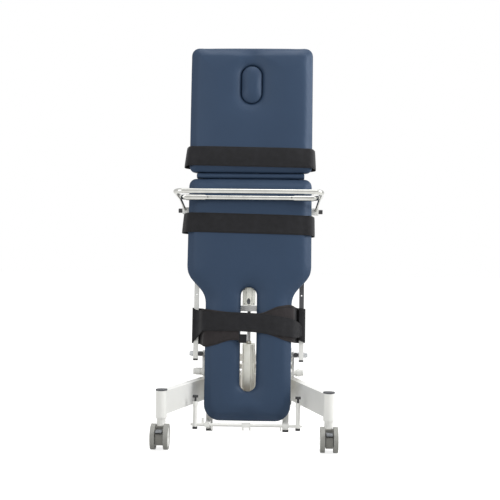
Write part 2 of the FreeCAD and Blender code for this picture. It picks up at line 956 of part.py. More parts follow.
# Lift actuator, between an anchor on the cross beam and the lever
anchor_dir = lever_dir + s.lift_lever_spread_angle
anchor = [
    lift_base_y + s.lift_lever_length * cosine(anchor_dir),
    lift_base_z + s.lift_lever_length * sine(anchor_dir),
]
lift_line = (lever_dir + anchor_dir) / 2 - 90
lift_span = 2 * s.lift_lever_length * sine(s.lift_lever_spread_angle / 2)
beam_back = s.cross_beam_y + s.cross_beam_width / 2
anchor_parts = []
for side, sign in (("left", -1), ("right", 1)):
    x = sign * s.lift_lever_x
    ear = cylinder(
        f"anchor_{side}_ear",
        s.lift_anchor_radius,
        s.lift_lever_thickness,
        [x - s.lift_lever_thickness / 2, anchor[0], anchor[1]],
        "x",
    )
    web = box(
        f"anchor_{side}_web",
        [s.lift_lever_thickness, anchor[0] - beam_back, 2 * s.lift_anchor_radius],
        [x, (anchor[0] + beam_back) / 2, anchor[1]],
    )
    anchor_parts.append(fuse(f"anchor_{side}", [ear, web]))
anchor_parts.append(
    cylinder(
        "anchor_pin",
        s.lift_pin_radius,
        2 * s.lift_lever_x,
        [-s.lift_lever_x, anchor[0], anchor[1]],
        "x",
    )
)
piece("base_cross_beam", fuse("base_cross_beam", [cross_beam] + anchor_parts))


def along(start, distance, angle):
    return [0, start[0] + distance * cosine(angle), start[1] + distance * sine(angle)]


def eye(name, radius, half_width, centre, bore):
    ring = cylinder(name + "_ring", radius, 2 * half_width, [-half_width, centre[0], centre[1]], "x")
    hole = cylinder(
        name + "_hole",
        bore,
        2 * half_width + 2 * s.overrun,
        [-half_width - s.overrun, centre[0], centre[1]],
        "x",
    )
    return ring, hole


ring, hole = eye(
    "lift_motor_eye",
    s.lift_eye_radius,
    s.lift_eye_half_width,
    anchor,
    s.lift_pin_radius + s.running_gap,
)
motor = leaning_cylinder(
    "lift_motor_tube",
    s.lift_motor_radius,
    s.lift_motor_length - s.lift_eye_radius / 2,
    along(anchor, s.lift_eye_radius / 2, lift_line),
    lift_line,
)
motor_bore = leaning_cylinder(
    "lift_motor_bore",
    s.lift_rod_radius + s.slide_gap,
    s.lift_motor_length,
    along(anchor, s.lift_eye_radius * 2, lift_line),
    lift_line,
)
piece(
    "lift_actuator_housing",
    cut("lift_actuator_housing", fuse("lift_motor_whole", [ring, motor]), [hole, motor_bore]),
)
ring, hole = eye(
    "lift_rod_eye",
    s.lift_eye_radius,
    s.lift_eye_half_width,
    lever_tip,
    s.lift_pin_radius + s.running_gap,
)
rod_length = lift_span - s.lift_eye_radius * 3
rod = leaning_cylinder(
    "lift_rod_bar",
    s.lift_rod_radius,
    rod_length,
    along(anchor, s.lift_eye_radius * 3, lift_line),
    lift_line,
)
piece(
    "lift_actuator_rod",
    cut("lift_actuator_rod", fuse("lift_rod_whole", [ring, rod]), [hole]),
)

# Carriage
nose = s.carriage_nose
plate_points = [
    (s.tilt_pivot_y - nose, s.tilt_pivot_z),
    (s.tilt_pivot_y - s.carriage_edge, s.lift_pivot_z - s.carriage_edge * 0.4),
    (s.lift_pivot_y, s.lift_pivot_z - s.carriage_edge),
    (s.lift_pivot_y + s.lift_pivot_spacing, s.lift_pivot_z - s.carriage_edge),
    (s.carriage_tube_y + s.carriage_edge, s.carriage_tube_z - s.carriage_edge),
    (s.carriage_tube_y + s.carriage_edge, s.carriage_tube_z + s.carriage_tube_size / 2),
    (s.carriage_tube_y - s.carriage_edge, s.carriage_tube_z + s.carriage_tube_size / 2),
    (s.lift_pivot_y + s.carriage_edge, s.carriage_tube_z + s.carriage_tube_size / 2),
    (s.tilt_pivot_y + nose, s.tilt_pivot_z),
    (s.tilt_pivot_y + nose * 0.7, s.tilt_pivot_z + nose * 0.7),
    (s.tilt_pivot_y, s.tilt_pivot_z + nose),
    (s.tilt_pivot_y - nose * 0.7, s.tilt_pivot_z + nose * 0.7),
]
plate_holes = [
    (s.tilt_pivot_y, s.tilt_pivot_z, s.tilt_stub_radius),
    (s.lift_pivot_y, s.lift_pivot_z, s.lift_shaft_radius),
    (s.lift_pivot_y + s.lift_pivot_spacing, s.lift_pivot_z, s.lift_shaft_radius),
]
right_plate = outline_body(
    "carriage_plate_right",
    "YZ_Plane",
    plate_points,
    s.carriage_plate_thickness,
    s.carriage_plate_x - s.carriage_plate_thickness / 2,
    plate_holes,
)
piece("carriage_plate_right", right_plate)
piece("carriage_plate_left", mirrored("carriage_plate_left", right_plate))
plate_inner = s.carriage_plate_x - s.carriage_plate_thickness / 2
plate_outer = s.carriage_plate_x + s.carriage_plate_thickness / 2
piece(
    "carriage_ties",
    group(
        "carriage_ties",
        [
            square_tube(
                "carriage_cross_tube",
                [2 * plate_inner, s.carriage_tube_size, s.carriage_tube_size],
                s.arm_wall,
                [0, s.carriage_tube_y, s.carriage_tube_z],
            ),
            cylinder(
                "carriage_rear_rod",
                s.lift_shaft_radius,
                2 * plate_outer,
                [-plate_outer, s.lift_pivot_y + s.lift_pivot_spacing, s.lift_pivot_z],
                "x",
            ),
        ],
    ),
)
arm_outer = s.front_arm_x + s.front_arm_thickness / 2
pins = []
washers = []
for side, sign in (("left", -1), ("right", 1)):
    start = sign * plate_inner if sign > 0 else -arm_outer - s.side_gap
    shank = cylinder(
        f"lift_pin_{side}_shank",
        s.lift_shaft_radius,
        arm_outer + s.side_gap - plate_inner,
        [start, s.lift_pivot_y, s.lift_pivot_z],
        "x",
    )
    outer = arm_outer + s.side_gap
    head_start = outer if sign > 0 else -outer - s.pin_head_thickness
    head = cylinder(
        f"lift_pin_{side}_head",
        s.pin_head_radius,
        s.pin_head_thickness,
        [head_start, s.lift_pivot_y, s.lift_pivot_z],
        "x",
    )
    pins.append(fuse(f"lift_pin_{side}", [shank, head]))
piece("lift_pins", group("lift_pins", pins))

stubs = []
for side, sign in (("left", -1), ("right", 1)):
    start = s.tilt_stub_inner_x if sign > 0 else -s.tilt_stub_outer_x
    bar = cylinder(
        f"tilt_stub_{side}_bar",
        s.tilt_stub_radius,
        s.tilt_stub_outer_x - s.tilt_stub_inner_x,
        [start, s.tilt_pivot_y, s.tilt_pivot_z],
        "x",
    )
    head_start = s.tilt_stub_outer_x if sign > 0 else -s.tilt_stub_outer_x - s.tilt_head_thickness
    head = cylinder(
        f"tilt_stub_{side}_head",
        s.tilt_head_radius,
        s.tilt_head_thickness,
        [head_start, s.tilt_pivot_y, s.tilt_pivot_z],
        "x",
    )
    stubs.append(fuse(f"tilt_stub_{side}", [bar, head]))
piece("tilt_stubs", group("tilt_stubs", stubs))

# Tilt actuator: its two pivots lie equally far from the tilt pivot
base_dir = -s.tilt_lead_angle
motor_pivot = [
    s.tilt_pivot_y + s.tilt_lever * cosine(base_dir),
    s.tilt_pivot_z + s.tilt_lever * sine(base_dir),
]
rod_pivot = [
    s.tilt_pivot_y + s.tilt_lever * cosine(s.rest_tilt_angle),
    s.tilt_pivot_z + s.tilt_lever * sine(s.rest_tilt_angle),
]
tilt_line = (s.rest_tilt_angle - s.tilt_lead_angle) / 2 + 90
tilt_span = 2 * s.tilt_lever * sine((s.rest_tilt_angle + s.tilt_lead_angle) / 2)
hanger_half = s.tilt_hanger_width / 2
rear_pivot_y = s.lift_pivot_y + s.lift_pivot_spacing
tube_low = s.carriage_tube_z - s.carriage_tube_size / 2
hanger_points = [
    (motor_pivot[0] - hanger_half, motor_pivot[1] - hanger_half * 0.4),
    (motor_pivot[0], motor_pivot[1] - hanger_half),
    (motor_pivot[0] + hanger_half, motor_pivot[1] - hanger_half * 0.4),
    (rear_pivot_y - hanger_half * 1.4, s.lift_pivot_z - hanger_half * 1.2),
    (rear_pivot_y + hanger_half, s.lift_pivot_z - hanger_half),
    (s.carriage_tube_y + s.carriage_tube_size / 2, tube_low),
    (rear_pivot_y - hanger_half * 0.4, tube_low),
    (rear_pivot_y - hanger_half, s.lift_pivot_z + hanger_half * 0.4),
    (motor_pivot[0] - hanger_half * 0.4, motor_pivot[1] + hanger_half),
]
hanger_holes = [
    (motor_pivot[0], motor_pivot[1], s.tilt_pin_radius),
    (rear_pivot_y, s.lift_pivot_z, s.lift_shaft_radius),
]
right_hanger = outline_body(
    "tilt_hanger_right",
    "YZ_Plane",
    hanger_points,
    s.tilt_hanger_thickness,
    s.tilt_hanger_x - s.tilt_hanger_thickness / 2,
    hanger_holes,
)
left_hanger = mirrored("tilt_hanger_left", right_hanger)
hanger_pin = cylinder(
    "tilt_hanger_pin",
    s.tilt_pin_radius,
    2 * s.tilt_hanger_x + s.tilt_hanger_thickness,
    [-s.tilt_hanger_x - s.tilt_hanger_thickness / 2, motor_pivot[0], motor_pivot[1]],
    "x",
)
piece("tilt_hanger", fuse("tilt_hanger", [right_hanger, left_hanger, hanger_pin]))

ring, hole = eye(
    "tilt_motor_eye",
    s.tilt_eye_radius,
    s.tilt_motor_half_width,
    motor_pivot,
    s.tilt_pin_radius + s.running_gap,
)
motor_middle = s.tilt_motor_start / 2 + s.tilt_motor_length / 2
block = box(
    "tilt_motor_block",
    [
        2 * s.tilt_motor_half_width,
        s.tilt_motor_length - s.tilt_motor_start,
        2 * s.tilt_motor_half_depth,
    ],
    along(motor_pivot, motor_middle, tilt_line),
    "x",
    tilt_line,
)
neck = box(
    "tilt_motor_neck",
    [2 * s.tilt_motor_half_width, s.tilt_motor_start + s.overrun, 2 * s.tilt_eye_radius],
    along(motor_pivot, (s.tilt_motor_start + s.overrun) / 2, tilt_line),
    "x",
    tilt_line,
)
gland = leaning_cylinder(
    "tilt_gland",
    s.tilt_gland_radius,
    s.tilt_gland_length,
    along(motor_pivot, s.tilt_motor_length, tilt_line),
    tilt_line,
)
motor_bore = leaning_cylinder(
    "tilt_motor_bore",
    s.tilt_rod_radius + s.slide_gap,
    s.tilt_motor_length + s.tilt_gland_length,
    along(motor_pivot, s.tilt_rod_end_length * 2 - s.overrun, tilt_line),
    tilt_line,
)
piece(
    "tilt_actuator_housing",
    cut(
        "tilt_actuator_housing",
        fuse("tilt_motor_whole", [ring, block, neck, gland]),
        [hole, motor_bore],
    ),
)
ring, hole = eye(
    "tilt_rod_eye",
    s.tilt_eye_radius,
    s.tilt_eye_half_width,
    rod_pivot,
    s.tilt_pin_radius + s.running_gap,
)
rod_start = tilt_span - s.tilt_motor_length + s.tilt_rod_end_length * 2
rod = leaning_cylinder(
    "tilt_rod_bar",
    s.tilt_rod_radius,
    tilt_span - rod_start,
    along(motor_pivot, rod_start, tilt_line),
    tilt_line,
)
piece(
    "tilt_actuator_rod",
    cut("tilt_actuator_rod", fuse("tilt_rod_whole", [ring, rod]), [hole]),
)

# Tilting frame
rail_outer = s.frame_rail_x + s.frame_rail_width / 2
for side, sign in (("left", -1), ("right", 1)):
    x = sign * s.frame_rail_x
    outer = box(
        f"frame_rail_{side}_outer",
        [s.frame_rail_width, s.frame_rail_end - s.frame_rail_start, s.frame_rail_width],
        [x, (s.frame_rail_start + s.frame_rail_end) / 2, 0],
    )
    bore_size = s.frame_rail_width - 2 * s.frame_rail_wall
    inner = box(
        f"frame_rail_{side}_inner",
        [bore_size, s.frame_rail_end - s.frame_rail_start, bore_size],
        [x, (s.frame_rail_start + s.frame_rail_end) / 2 - s.frame_rail_wall * 4, 0],
    )
    plate = box(
        f"frame_rail_{side}_hinge_plate",
        [s.hinge_plate_thickness, s.hinge_plate_size, s.frame_rail_width],
        [sign * (rail_outer + s.hinge_plate_thickness / 2), s.pivot_u, 0],
    )
    stub_room = cylinder(
        f"frame_rail_{side}_stub_room",
        s.tilt_stub_radius + s.running_gap,
        s.frame_rail_width,
        [x - (s.frame_rail_width if sign < 0 else 0), s.pivot_u, 0],
        "x",
    )
    start = s.head_pin_inner_x if sign > 0 else -rail_outer
    head_pin = cylinder(
        f"frame_rail_{side}_head_pin",
        s.head_pin_radius,
        rail_outer - s.head_pin_inner_x,
        [start, s.head_hinge_u, s.head_hinge_w],
        "x",
    )
    hollow = cut(f"frame_rail_{side}_tube", outer, [inner])
    whole = fuse(f"frame_rail_{side}_whole", [hollow, plate, head_pin])
    piece(f"frame_rail_{side}", on_frame(cut(f"frame_rail_{side}", whole, [stub_room])))

members = []
for tag, u in (
    ("low", s.cross_low_u),
    ("slot", s.cross_slot_u),
    ("mid", s.cross_mid_u),
    ("high", s.cross_high_u),
):
    members.append(
        box(
            f"cross_member_{tag}",
            [
                2 * s.frame_rail_x + s.frame_rail_width,
                s.cross_member_width,
                s.cross_member_depth,
            ],
            [0, u, rail_half + s.cross_member_depth / 2],
        )
    )
piece("frame_cross_members", on_frame(group("frame_cross_members", members)))

spine_end = s.cross_high_u + s.cross_member_width / 2
spine_tube = square_tube(
    "spine_tube",
    [s.spine_width, spine_end - s.spine_start, s.frame_rail_width],
    s.frame_rail_wall,
    [0, (s.spine_start + spine_end) / 2, 0],
)
rod_eye_u = s.pivot_u + s.tilt_lever
ears = []
for side, sign in (("left", -1), ("right", 1)):
    ears.append(
        box(
            f"spine_ear_{side}",
            [
                s.clevis_ear_thickness,
                s.spine_start - rod_eye_u + s.clevis_ear_length / 2,
                s.frame_rail_width,
            ],
            [
                sign * (s.spine_width - s.clevis_ear_thickness) / 2,
                (s.spine_start + rod_eye_u - s.clevis_ear_length / 2) / 2,
                0,
            ],
        )
    )
ear_pin = cylinder(
    "spine_pin", s.tilt_pin_radius, s.spine_width, [-s.spine_width / 2, rod_eye_u, 0], "x"
)
strut_u = s.head_hinge_u - s.strut_lever * cosine(s.strut_drop_angle)
strut_w = s.head_hinge_w - s.strut_lever * sine(s.strut_drop_angle)
lug_depth = -rail_half - strut_w + s.strut_eye_radius
strut_lugs = []
for side, sign in (("left", -1), ("right", 1)):
    strut_lugs.append(
        box(
            f"spine_strut_lug_{side}",
            [s.strut_lug_thickness, 2 * s.strut_eye_radius, lug_depth],
            [
                sign * (s.strut_eye_half_width + s.side_gap + s.strut_lug_thickness / 2),
                strut_u,
                -rail_half - lug_depth / 2,
            ],
        )
    )
lug_reach = s.strut_eye_half_width + s.side_gap + s.strut_lug_thickness
strut_lugs.append(
    cylinder(
        "spine_strut_pin", s.strut_pin_radius, 2 * lug_reach, [-lug_reach, strut_u, strut_w], "x"
    )
)
piece(
    "frame_spine",
    on_frame(fuse("frame_spine", [spine_tube] + ears + [ear_pin] + strut_lugs)),
)

# Side rails for the straps, carried on outriggers at the torso
for side, sign in (("left", -1), ("right", 1)):
    rail_w = rail_half + s.strap_rail_thickness / 2
    outer = square_tube(
        f"strap_rail_{side}_tube",
        [
            s.strap_rail_width,
            s.strap_rail_end - s.strap_rail_start,
            s.strap_rail_thickness,
        ],
        s.frame_rail_wall,
        [sign * s.strap_rail_x, (s.strap_rail_start + s.strap_rail_end) / 2, rail_w],
    )
    hole = cylinder(
        f"strap_rail_{side}_hole",
        s.strap_rail_hole_radius,
        s.strap_rail_thickness * 2,
        [sign * s.strap_rail_x, s.strap_rail_hole_u, rail_w - s.strap_rail_thickness],
    )
    parts = [cut(f"strap_rail_{side}_drilled", outer, [hole])]
    gap = s.strap_rail_x - s.strap_rail_width / 2 - s.frame_rail_x - s.frame_rail_width / 2
    for tag, u in (
        ("low", s.strap_outrigger_low_u),
        ("high", s.strap_outrigger_high_u),
    ):
        parts.append(
            box(
                f"strap_rail_{side}_outrigger_{tag}",
                [gap, s.cross_member_width, s.strap_rail_thickness],
                [
                    sign * (s.frame_rail_x + s.frame_rail_width / 2 + gap / 2),
                    u,
                    rail_half - s.strap_rail_thickness / 2 + s.frame_rail_wall,
                ],
            )
        )
    piece(f"strap_rail_{side}", on_frame(fuse(f"strap_rail_{side}", parts)))

caps = []
for side, sign in (("left", -1), ("right", 1)):
    caps.append(
        box(
            f"strap_rail_cap_{side}",
            [s.strap_rail_width, s.strap_rail_cap, s.strap_rail_thickness],
            [
                sign * s.strap_rail_x,
                s.strap_rail_start - s.strap_rail_cap / 2,
                rail_half + s.strap_rail_thickness / 2,
            ],
        )
    )
piece("strap_rail_caps", on_frame(group("strap_rail_caps", caps)))

knobs = []
for side, sign in (("left", -1), ("right", 1)):
    inner = s.strap_rail_x - s.strap_rail_width / 2
    block = box(
        f"rail_knob_{side}_block",
        [inner - s.rail_knob_x, s.rail_clamp_length / 2, s.strap_rail_thickness],
        [
            sign * (inner + s.rail_knob_x) / 2,
            s.rail_clamp_u,
            rail_half + s.strap_rail_thickness / 2,
        ],
    )
    knob = cylinder(
        f"rail_knob_{side}_round",
        s.rail_knob_radius,
        s.rail_knob_length + s.strap_rail_thickness,
        [sign * s.rail_knob_x, s.rail_clamp_u, rail_half],
    )
    knobs.append(fuse(f"rail_knob_{side}", [block, knob]))
piece("rail_knobs", on_frame(group("rail_knobs", knobs)))


# Boards and pads, drawn as outlines in x and u
def vec(x, u, w=0.0):
    return FreeCAD.Vector(float(x), float(u), float(w))


def quarter(middle, start, sweep, radius):
    """An arc about a middle, from a start angle in degrees through a sweep."""
    points = []
    for share in (0, 0.5, 1):
        angle = math.radians(start + sweep * share)
        points.append(vec(middle[0] + radius * math.cos(angle), middle[1] + radius * math.sin(angle)))
    return Part.Arc(*points).toShape()


def corner_radius(radius, inset):
    """A corner drawn in with its outline, never sharper than a quarter of its radius."""
    return max(float(radius) - inset, float(radius) / 4)


def main_outline(inset):
    """The main section: square shoulders, an S-shaped taper and narrow legs."""
    wide = float(s.torso_half_width) - inset
    slim = float(s.leg_half_width) - inset
    top = float(s.main_pad_length) - inset
    low = inset
    big = corner_radius(s.leg_corner, inset)
    small = corner_radius(s.torso_corner, inset)
    t0, t1 = float(s.taper_start), float(s.taper_end)
    edges = [Part.LineSegment(vec(big - slim, low), vec(slim - big, low)).toShape()]
    edges.append(quarter((slim - big, low + big), -90, 90, big))
    edges.append(Part.LineSegment(vec(slim, low + big), vec(slim, t0)).toShape())
    third = (t1 - t0) / 2
    curve = Part.BezierCurve()
    curve.setPoles([vec(slim, t0), vec(slim, t0 + third), vec(wide, t1 - third), vec(wide, t1)])
    edges.append(curve.toShape())
    edges.append(Part.LineSegment(vec(wide, t1), vec(wide, top - small)).toShape())
    edges.append(quarter((wide - small, top - small), 0, 90, small))
    edges.append(Part.LineSegment(vec(wide - small, top), vec(small - wide, top)).toShape())
    edges.append(quarter((small - wide, top - small), 90, 90, small))
    edges.append(Part.LineSegment(vec(-wide, top - small), vec(-wide, t1)).toShape())
    curve = Part.BezierCurve()
    curve.setPoles([vec(-wide, t1), vec(-wide, t1 - third), vec(-slim, t0 + third), vec(-slim, t0)])
    edges.append(curve.toShape())
    edges.append(Part.LineSegment(vec(-slim, t0), vec(-slim, low + big)).toShape())
    edges.append(quarter((big - slim, low + big), 180, 90, big))
    return Part.Wire(edges)


def head_outline(inset):
    """The head section: a rectangle with softer corners at the crown."""
    wide = float(s.torso_half_width) - inset
    low = float(s.head_pad_start) + inset
    top = float(s.table_length) - inset
    small = corner_radius(s.head_corner_low, inset)
    big = corner_radius(s.head_corner_high, inset)
    edges = [Part.LineSegment(vec(small - wide, low), vec(wide - small, low)).toShape()]
    edges.append(quarter((wide - small, low + small), -90, 90, small))
    edges.append(Part.LineSegment(vec(wide, low + small), vec(wide, top - big)).toShape())
    edges.append(quarter((wide - big, top - big), 0, 90, big))
    edges.append(Part.LineSegment(vec(wide - big, top), vec(big - wide, top)).toShape())
    edges.append(quarter((big - wide, top - big), 90, 90, big))
    edges.append(Part.LineSegment(vec(-wide, top - big), vec(-wide, low + small)).toShape())
    edges.append(quarter((small - wide, low + small), 180, 90, small))
    return Part.Wire(edges)


def slot_outline(inset):
    radius = float(s.slot_width) / 2 + inset
    low = float(s.slot_start) + float(s.slot_width) / 2
    high = float(s.slot_end) - float(s.slot_width) / 2
    return Part.Wire(
        [
            Part.LineSegment(vec(radius, low), vec(radius, high)).toShape(),
            quarter((0, high), 0, 180, radius),
            Part.LineSegment(vec(-radius, high), vec(-radius, low)).toShape(),
            quarter((0, low), 180, 180, radius),
        ]
    )


def plug_outline(inset):
    """A rounded oval, a stadium with its long sides gently full."""
    wide = float(s.plug_half_width) - inset
    tall = float(s.plug_half_length) - inset
    middle = float(s.plug_centre_u)
    straight = tall - wide
    return Part.Wire(
        [
            Part.LineSegment(vec(wide, middle - straight), vec(wide, middle + straight)).toShape(),
            quarter((0, middle + straight), 0, 180, wide),
            Part.LineSegment(vec(-wide, middle + straight), vec(-wide, middle - straight)).toShape(),
            quarter((0, middle - straight), 180, 180, wide),
        ]
    )


def slab(outline, bottom, height):
    face = Part.Face(outline)
    face.translate(vec(0, 0, bottom))
    return face.extrude(vec(0, 0, height))


def lofted(outline, levels):
    """A solid through one outline drawn in by each level's inset."""
    wires = []
    for inset, height in levels:
        wire = outline(inset)
        wire.translate(vec(0, 0, height))
        wires.append(wire)
    return Part.makeLoft(wires, True, True)


def cushion_levels():
    """Drawn-in sides at the board, full at mid height, rolling over to a low crown."""
    bottom = float(pad_w)
    edge = float(s.pad_edge)
    top = float(pad_top)
    draw = float(s.pad_draw_in)
    crown = float(s.pad_crown)
    return [
        (draw, bottom),
        (0.0, bottom + edge),
        (0.0, top - edge),
        (edge * 0.3, top - edge * 0.3),
        (edge, top),
        (edge * 2, top + crown * 0.45),
        (edge * 2.9, top + crown * 0.75),
    ]


def feature(label, shape):
    """A piece that the primitives can't draw, placed with the frame."""
    thing = doc.addObject("Part::Feature", label)
    thing.Shape = shape
    piece(label, thing)
    return on_frame(thing)


def cushion(outline, hole=None, hole_gap=0.0):
    """A padded cushion: a lofted crown, and an opening whose rim rolls in."""
    body = lofted(outline, cushion_levels())
    if hole is None:
        return body
    edge = float(s.pad_edge)
    top = float(pad_top)
    reach = float(s.overrun)
    opening = slab(hole(hole_gap), float(pad_w) - reach, float(s.pad_thickness) * 2)
    rim = lofted(
        hole,
        [
            (hole_gap, top - edge),
            (hole_gap + edge * 0.3 * (1 if hole_gap >= 0 else -1), top - edge * 0.3),
            (hole_gap + edge * (1 if hole_gap >= 0 else -1), top + float(s.pad_crown)),
        ],
    )
    return body.cut(opening).cut(rim)


feature(
    "main_board",
    slab(main_outline(float(s.board_inset)), float(board_w), float(s.board_thickness)).cut(
        slab(slot_outline(0.0), float(board_w) - float(s.overrun), float(s.board_thickness) * 2)
    ),
)
feature("main_pad", cushion(main_outline, slot_outline, 0.0))

bolster_bottom = rail_half + s.seat_gap
bolster_shape = Part.makeCylinder(
    float(s.bolster_width) / 2,
    2 * float(s.bolster_half_length),
    vec(-s.bolster_half_length, s.bolster_centre_u, s.bolster_top - s.bolster_width / 2),
    FreeCAD.Vector(1, 0, 0),
).fuse(
    Part.makeBox(
        2 * float(s.bolster_half_length),
        float(s.bolster_width),
        float(s.bolster_top - s.bolster_width / 2 - bolster_bottom),
        vec(-s.bolster_half_length, s.bolster_centre_u - s.bolster_width / 2, bolster_bottom),
    )
)
feature("neck_bolster", bolster_shape.removeSplitter())

# Head section
head_parts = []
head_rail_start = s.head_hinge_u - s.head_rail_tail
for side, sign in (("left", -1), ("right", 1)):
    tube = square_tube(
        f"head_rail_{side}_tube",
        [s.head_rail_width, s.head_rail_end - head_rail_start, s.head_rail_width],
        s.head_rail_wall,
        [sign * s.head_rail_x, (s.head_rail_end + head_rail_start) / 2, s.head_hinge_w],
    )
    head_parts.append(tube)
head_top_w = s.head_hinge_w + s.head_rail_width / 2
for tag, u in (("low", s.head_cross_low_u), ("high", s.head_cross_high_u)):
    head_parts.append(
        box(
            f"head_cross_{tag}",
            [
                2 * s.head_rail_x + s.head_rail_width,
                s.cross_member_width,
                board_w - head_top_w,
            ],
            [0, u, (board_w + head_top_w) / 2],
        )
    )
strut_a_u = s.head_hinge_u + s.strut_lever * cosine(s.strut_drop_angle)
head_lug_depth = head_top_w - strut_w + s.strut_eye_radius
for side, sign in (("left", -1), ("right", 1)):
    head_parts.append(
        box(
            f"head_strut_lug_{side}",
            [s.strut_lug_thickness, 2 * s.strut_eye_radius, head_lug_depth],
            [
                sign * (s.strut_eye_half_width + s.side_gap + s.strut_lug_thickness / 2),
                strut_a_u,
                head_top_w - head_lug_depth / 2,
            ],
        )
    )
head_parts.append(
    cylinder(
        "head_strut_pin", s.strut_pin_radius, 2 * lug_reach, [-lug_reach, strut_a_u, strut_w], "x"
    )
)
head_rooms = []
for side, sign in (("left", -1), ("right", 1)):
    head_rooms.append(
        cylinder(
            f"head_rail_{side}_bore",
            s.head_pin_radius + s.running_gap,
            s.head_rail_width + 2 * s.overrun,
            [
                sign * s.head_rail_x - s.head_rail_width / 2 - s.overrun,
                s.head_hinge_u,
                s.head_hinge_w,
            ],
            "x",
        )
    )
piece("head_frame", on_frame(cut("head_frame", fuse("head_whole", head_parts), head_rooms)))

feature(
    "head_board",
    slab(head_outline(float(s.board_inset)), float(board_w), float(s.board_thickness)).cut(
        slab(plug_outline(-float(s.plug_gap)), float(board_w) - float(s.overrun), float(s.pad_thickness))
    ),
)
feature("head_pad", cushion(head_outline, plug_outline, -float(s.plug_gap)))


def plug_levels():
    bottom = float(board_w)
    edge = float(s.pad_edge)
    top = float(pad_top)
    crown = float(s.pad_crown)
    return [
        (0.0, bottom),
        (0.0, top - edge * 0.5),
        (edge * 0.25, top - edge * 0.1),
        (edge, top + crown * 0.4),
        (edge * 2, top + crown * 0.7),
    ]


feature("face_plug", lofted(plug_outline, plug_levels()))


def frame_eye(name, radius, half_width, u, w, bore):
    ring = cylinder(name + "_ring", radius, 2 * half_width, [-half_width, u, w], "x")
    hole = cylinder(
        name + "_hole",
        bore,
        2 * half_width + 2 * s.overrun,
        [-half_width - s.overrun, u, w],
        "x",
    )
    return ring, hole


ring, hole = frame_eye(
    "strut_cylinder_eye",
    s.strut_eye_radius,
    s.strut_eye_half_width,
    strut_u,
    strut_w,
    s.strut_pin_radius + s.running_gap,
)
tube = cylinder(
    "strut_cylinder_tube",
    s.strut_cylinder_radius,
    s.strut_cylinder_length - s.strut_eye_radius * 2,
    [0, strut_u + s.strut_eye_radius * 2, strut_w],
    "y",
)
bore = cylinder(
    "strut_cylinder_bore",
    s.strut_rod_radius + s.slide_gap,
    s.strut_cylinder_length,
    [0, strut_u + 3 * s.strut_eye_radius, strut_w],
    "y",
)
neck = cylinder(
    "strut_cylinder_neck",
    s.strut_rod_radius,
    s.strut_eye_radius * 2,
    [0, strut_u + s.strut_pin_radius * 1.5, strut_w],
    "y",
)
piece(
    "head_strut_cylinder",
    on_frame(cut("head_strut_cylinder", fuse("strut_cylinder_whole", [ring, tube, neck]), [hole, bore])),
)
ring, hole = frame_eye(
    "strut_rod_eye",
    s.strut_eye_radius,
    s.strut_eye_half_width,
    strut_a_u,
    strut_w,
    s.strut_pin_radius + s.running_gap,
)
strut_span = strut_a_u - strut_u
rod_reach = s.strut_cylinder_length - 12 * s.strut_rod_radius
rod = cylinder(
    "strut_rod_bar",
    s.strut_rod_radius,
    strut_span - rod_reach,
    [0, strut_u + rod_reach, strut_w],
    "y",
)
piece(
    "head_strut_rod",
    on_frame(cut("head_strut_rod", fuse("strut_rod_whole", [ring, rod]), [hole])),
)


# Straps, flat webbing drawn as closed bands
def band(points, thickness):
    """A closed ring of webbing round corner points in x and w, offset outward."""
    count = len(points)
    outer = []
    for i in range(count):
        before, here, after = points[i - 1], points[i], points[(i + 1) % count]
        d1 = (here[0] - before[0], here[1] - before[1])
        d2 = (after[0] - here[0], after[1] - here[1])
        l1, l2 = math.hypot(*d1), math.hypot(*d2)
        n1 = (d1[1] / l1, -d1[0] / l1)
        n2 = (d2[1] / l2, -d2[0] / l2)
        scale = thickness / (1 + n1[0] * n2[0] + n1[1] * n2[1])
        outer.append((here[0] + (n1[0] + n2[0]) * scale, here[1] + (n1[1] + n2[1]) * scale))
    return outer


def ring_solid(points, thickness, low, high):
    """A band between two heights along u."""
    shapes = []
    for corners in (band(points, thickness), points):
        wire = Part.makePolygon([vec(x, low, w) for x, w in corners + corners[:1]])
        shapes.append(Part.Face(wire).extrude(vec(0, high - low, 0)))
    return shapes[0].cut(shapes[1])


def body_strap(centre, width):
    """A strap round the front and sides of the pad, closed behind the frame."""
    gap = float(s.seat_gap)
    front = float(pad_top) + float(s.pad_crown) * 0.8 + gap
    side = float(s.torso_half_width) + gap + float(s.strap_clearance)
    flare = float(s.strap_side_x)
    back = -float(rail_half) - 6 * gap
    low_w = float(board_w) - float(s.cross_member_depth)
    edge = float(s.pad_edge)
    points = [
        (-side + edge, front),
        (-side, front - edge),
        (-flare, float(pad_w)),
        (-flare, low_w),
        (-flare + edge * 3, back),
        (flare - edge * 3, back),
        (flare, low_w),
        (flare, float(pad_w)),
        (side, front - edge),
        (side - edge, front),
    ]
    half = float(width) / 2
    return ring_solid(points, float(s.strap_thickness), float(centre) - half, float(centre) + half)


feature("chest_strap", body_strap(s.chest_strap_u, s.chest_strap_width))
feature("waist_strap", body_strap(s.waist_strap_u, s.waist_strap_width))


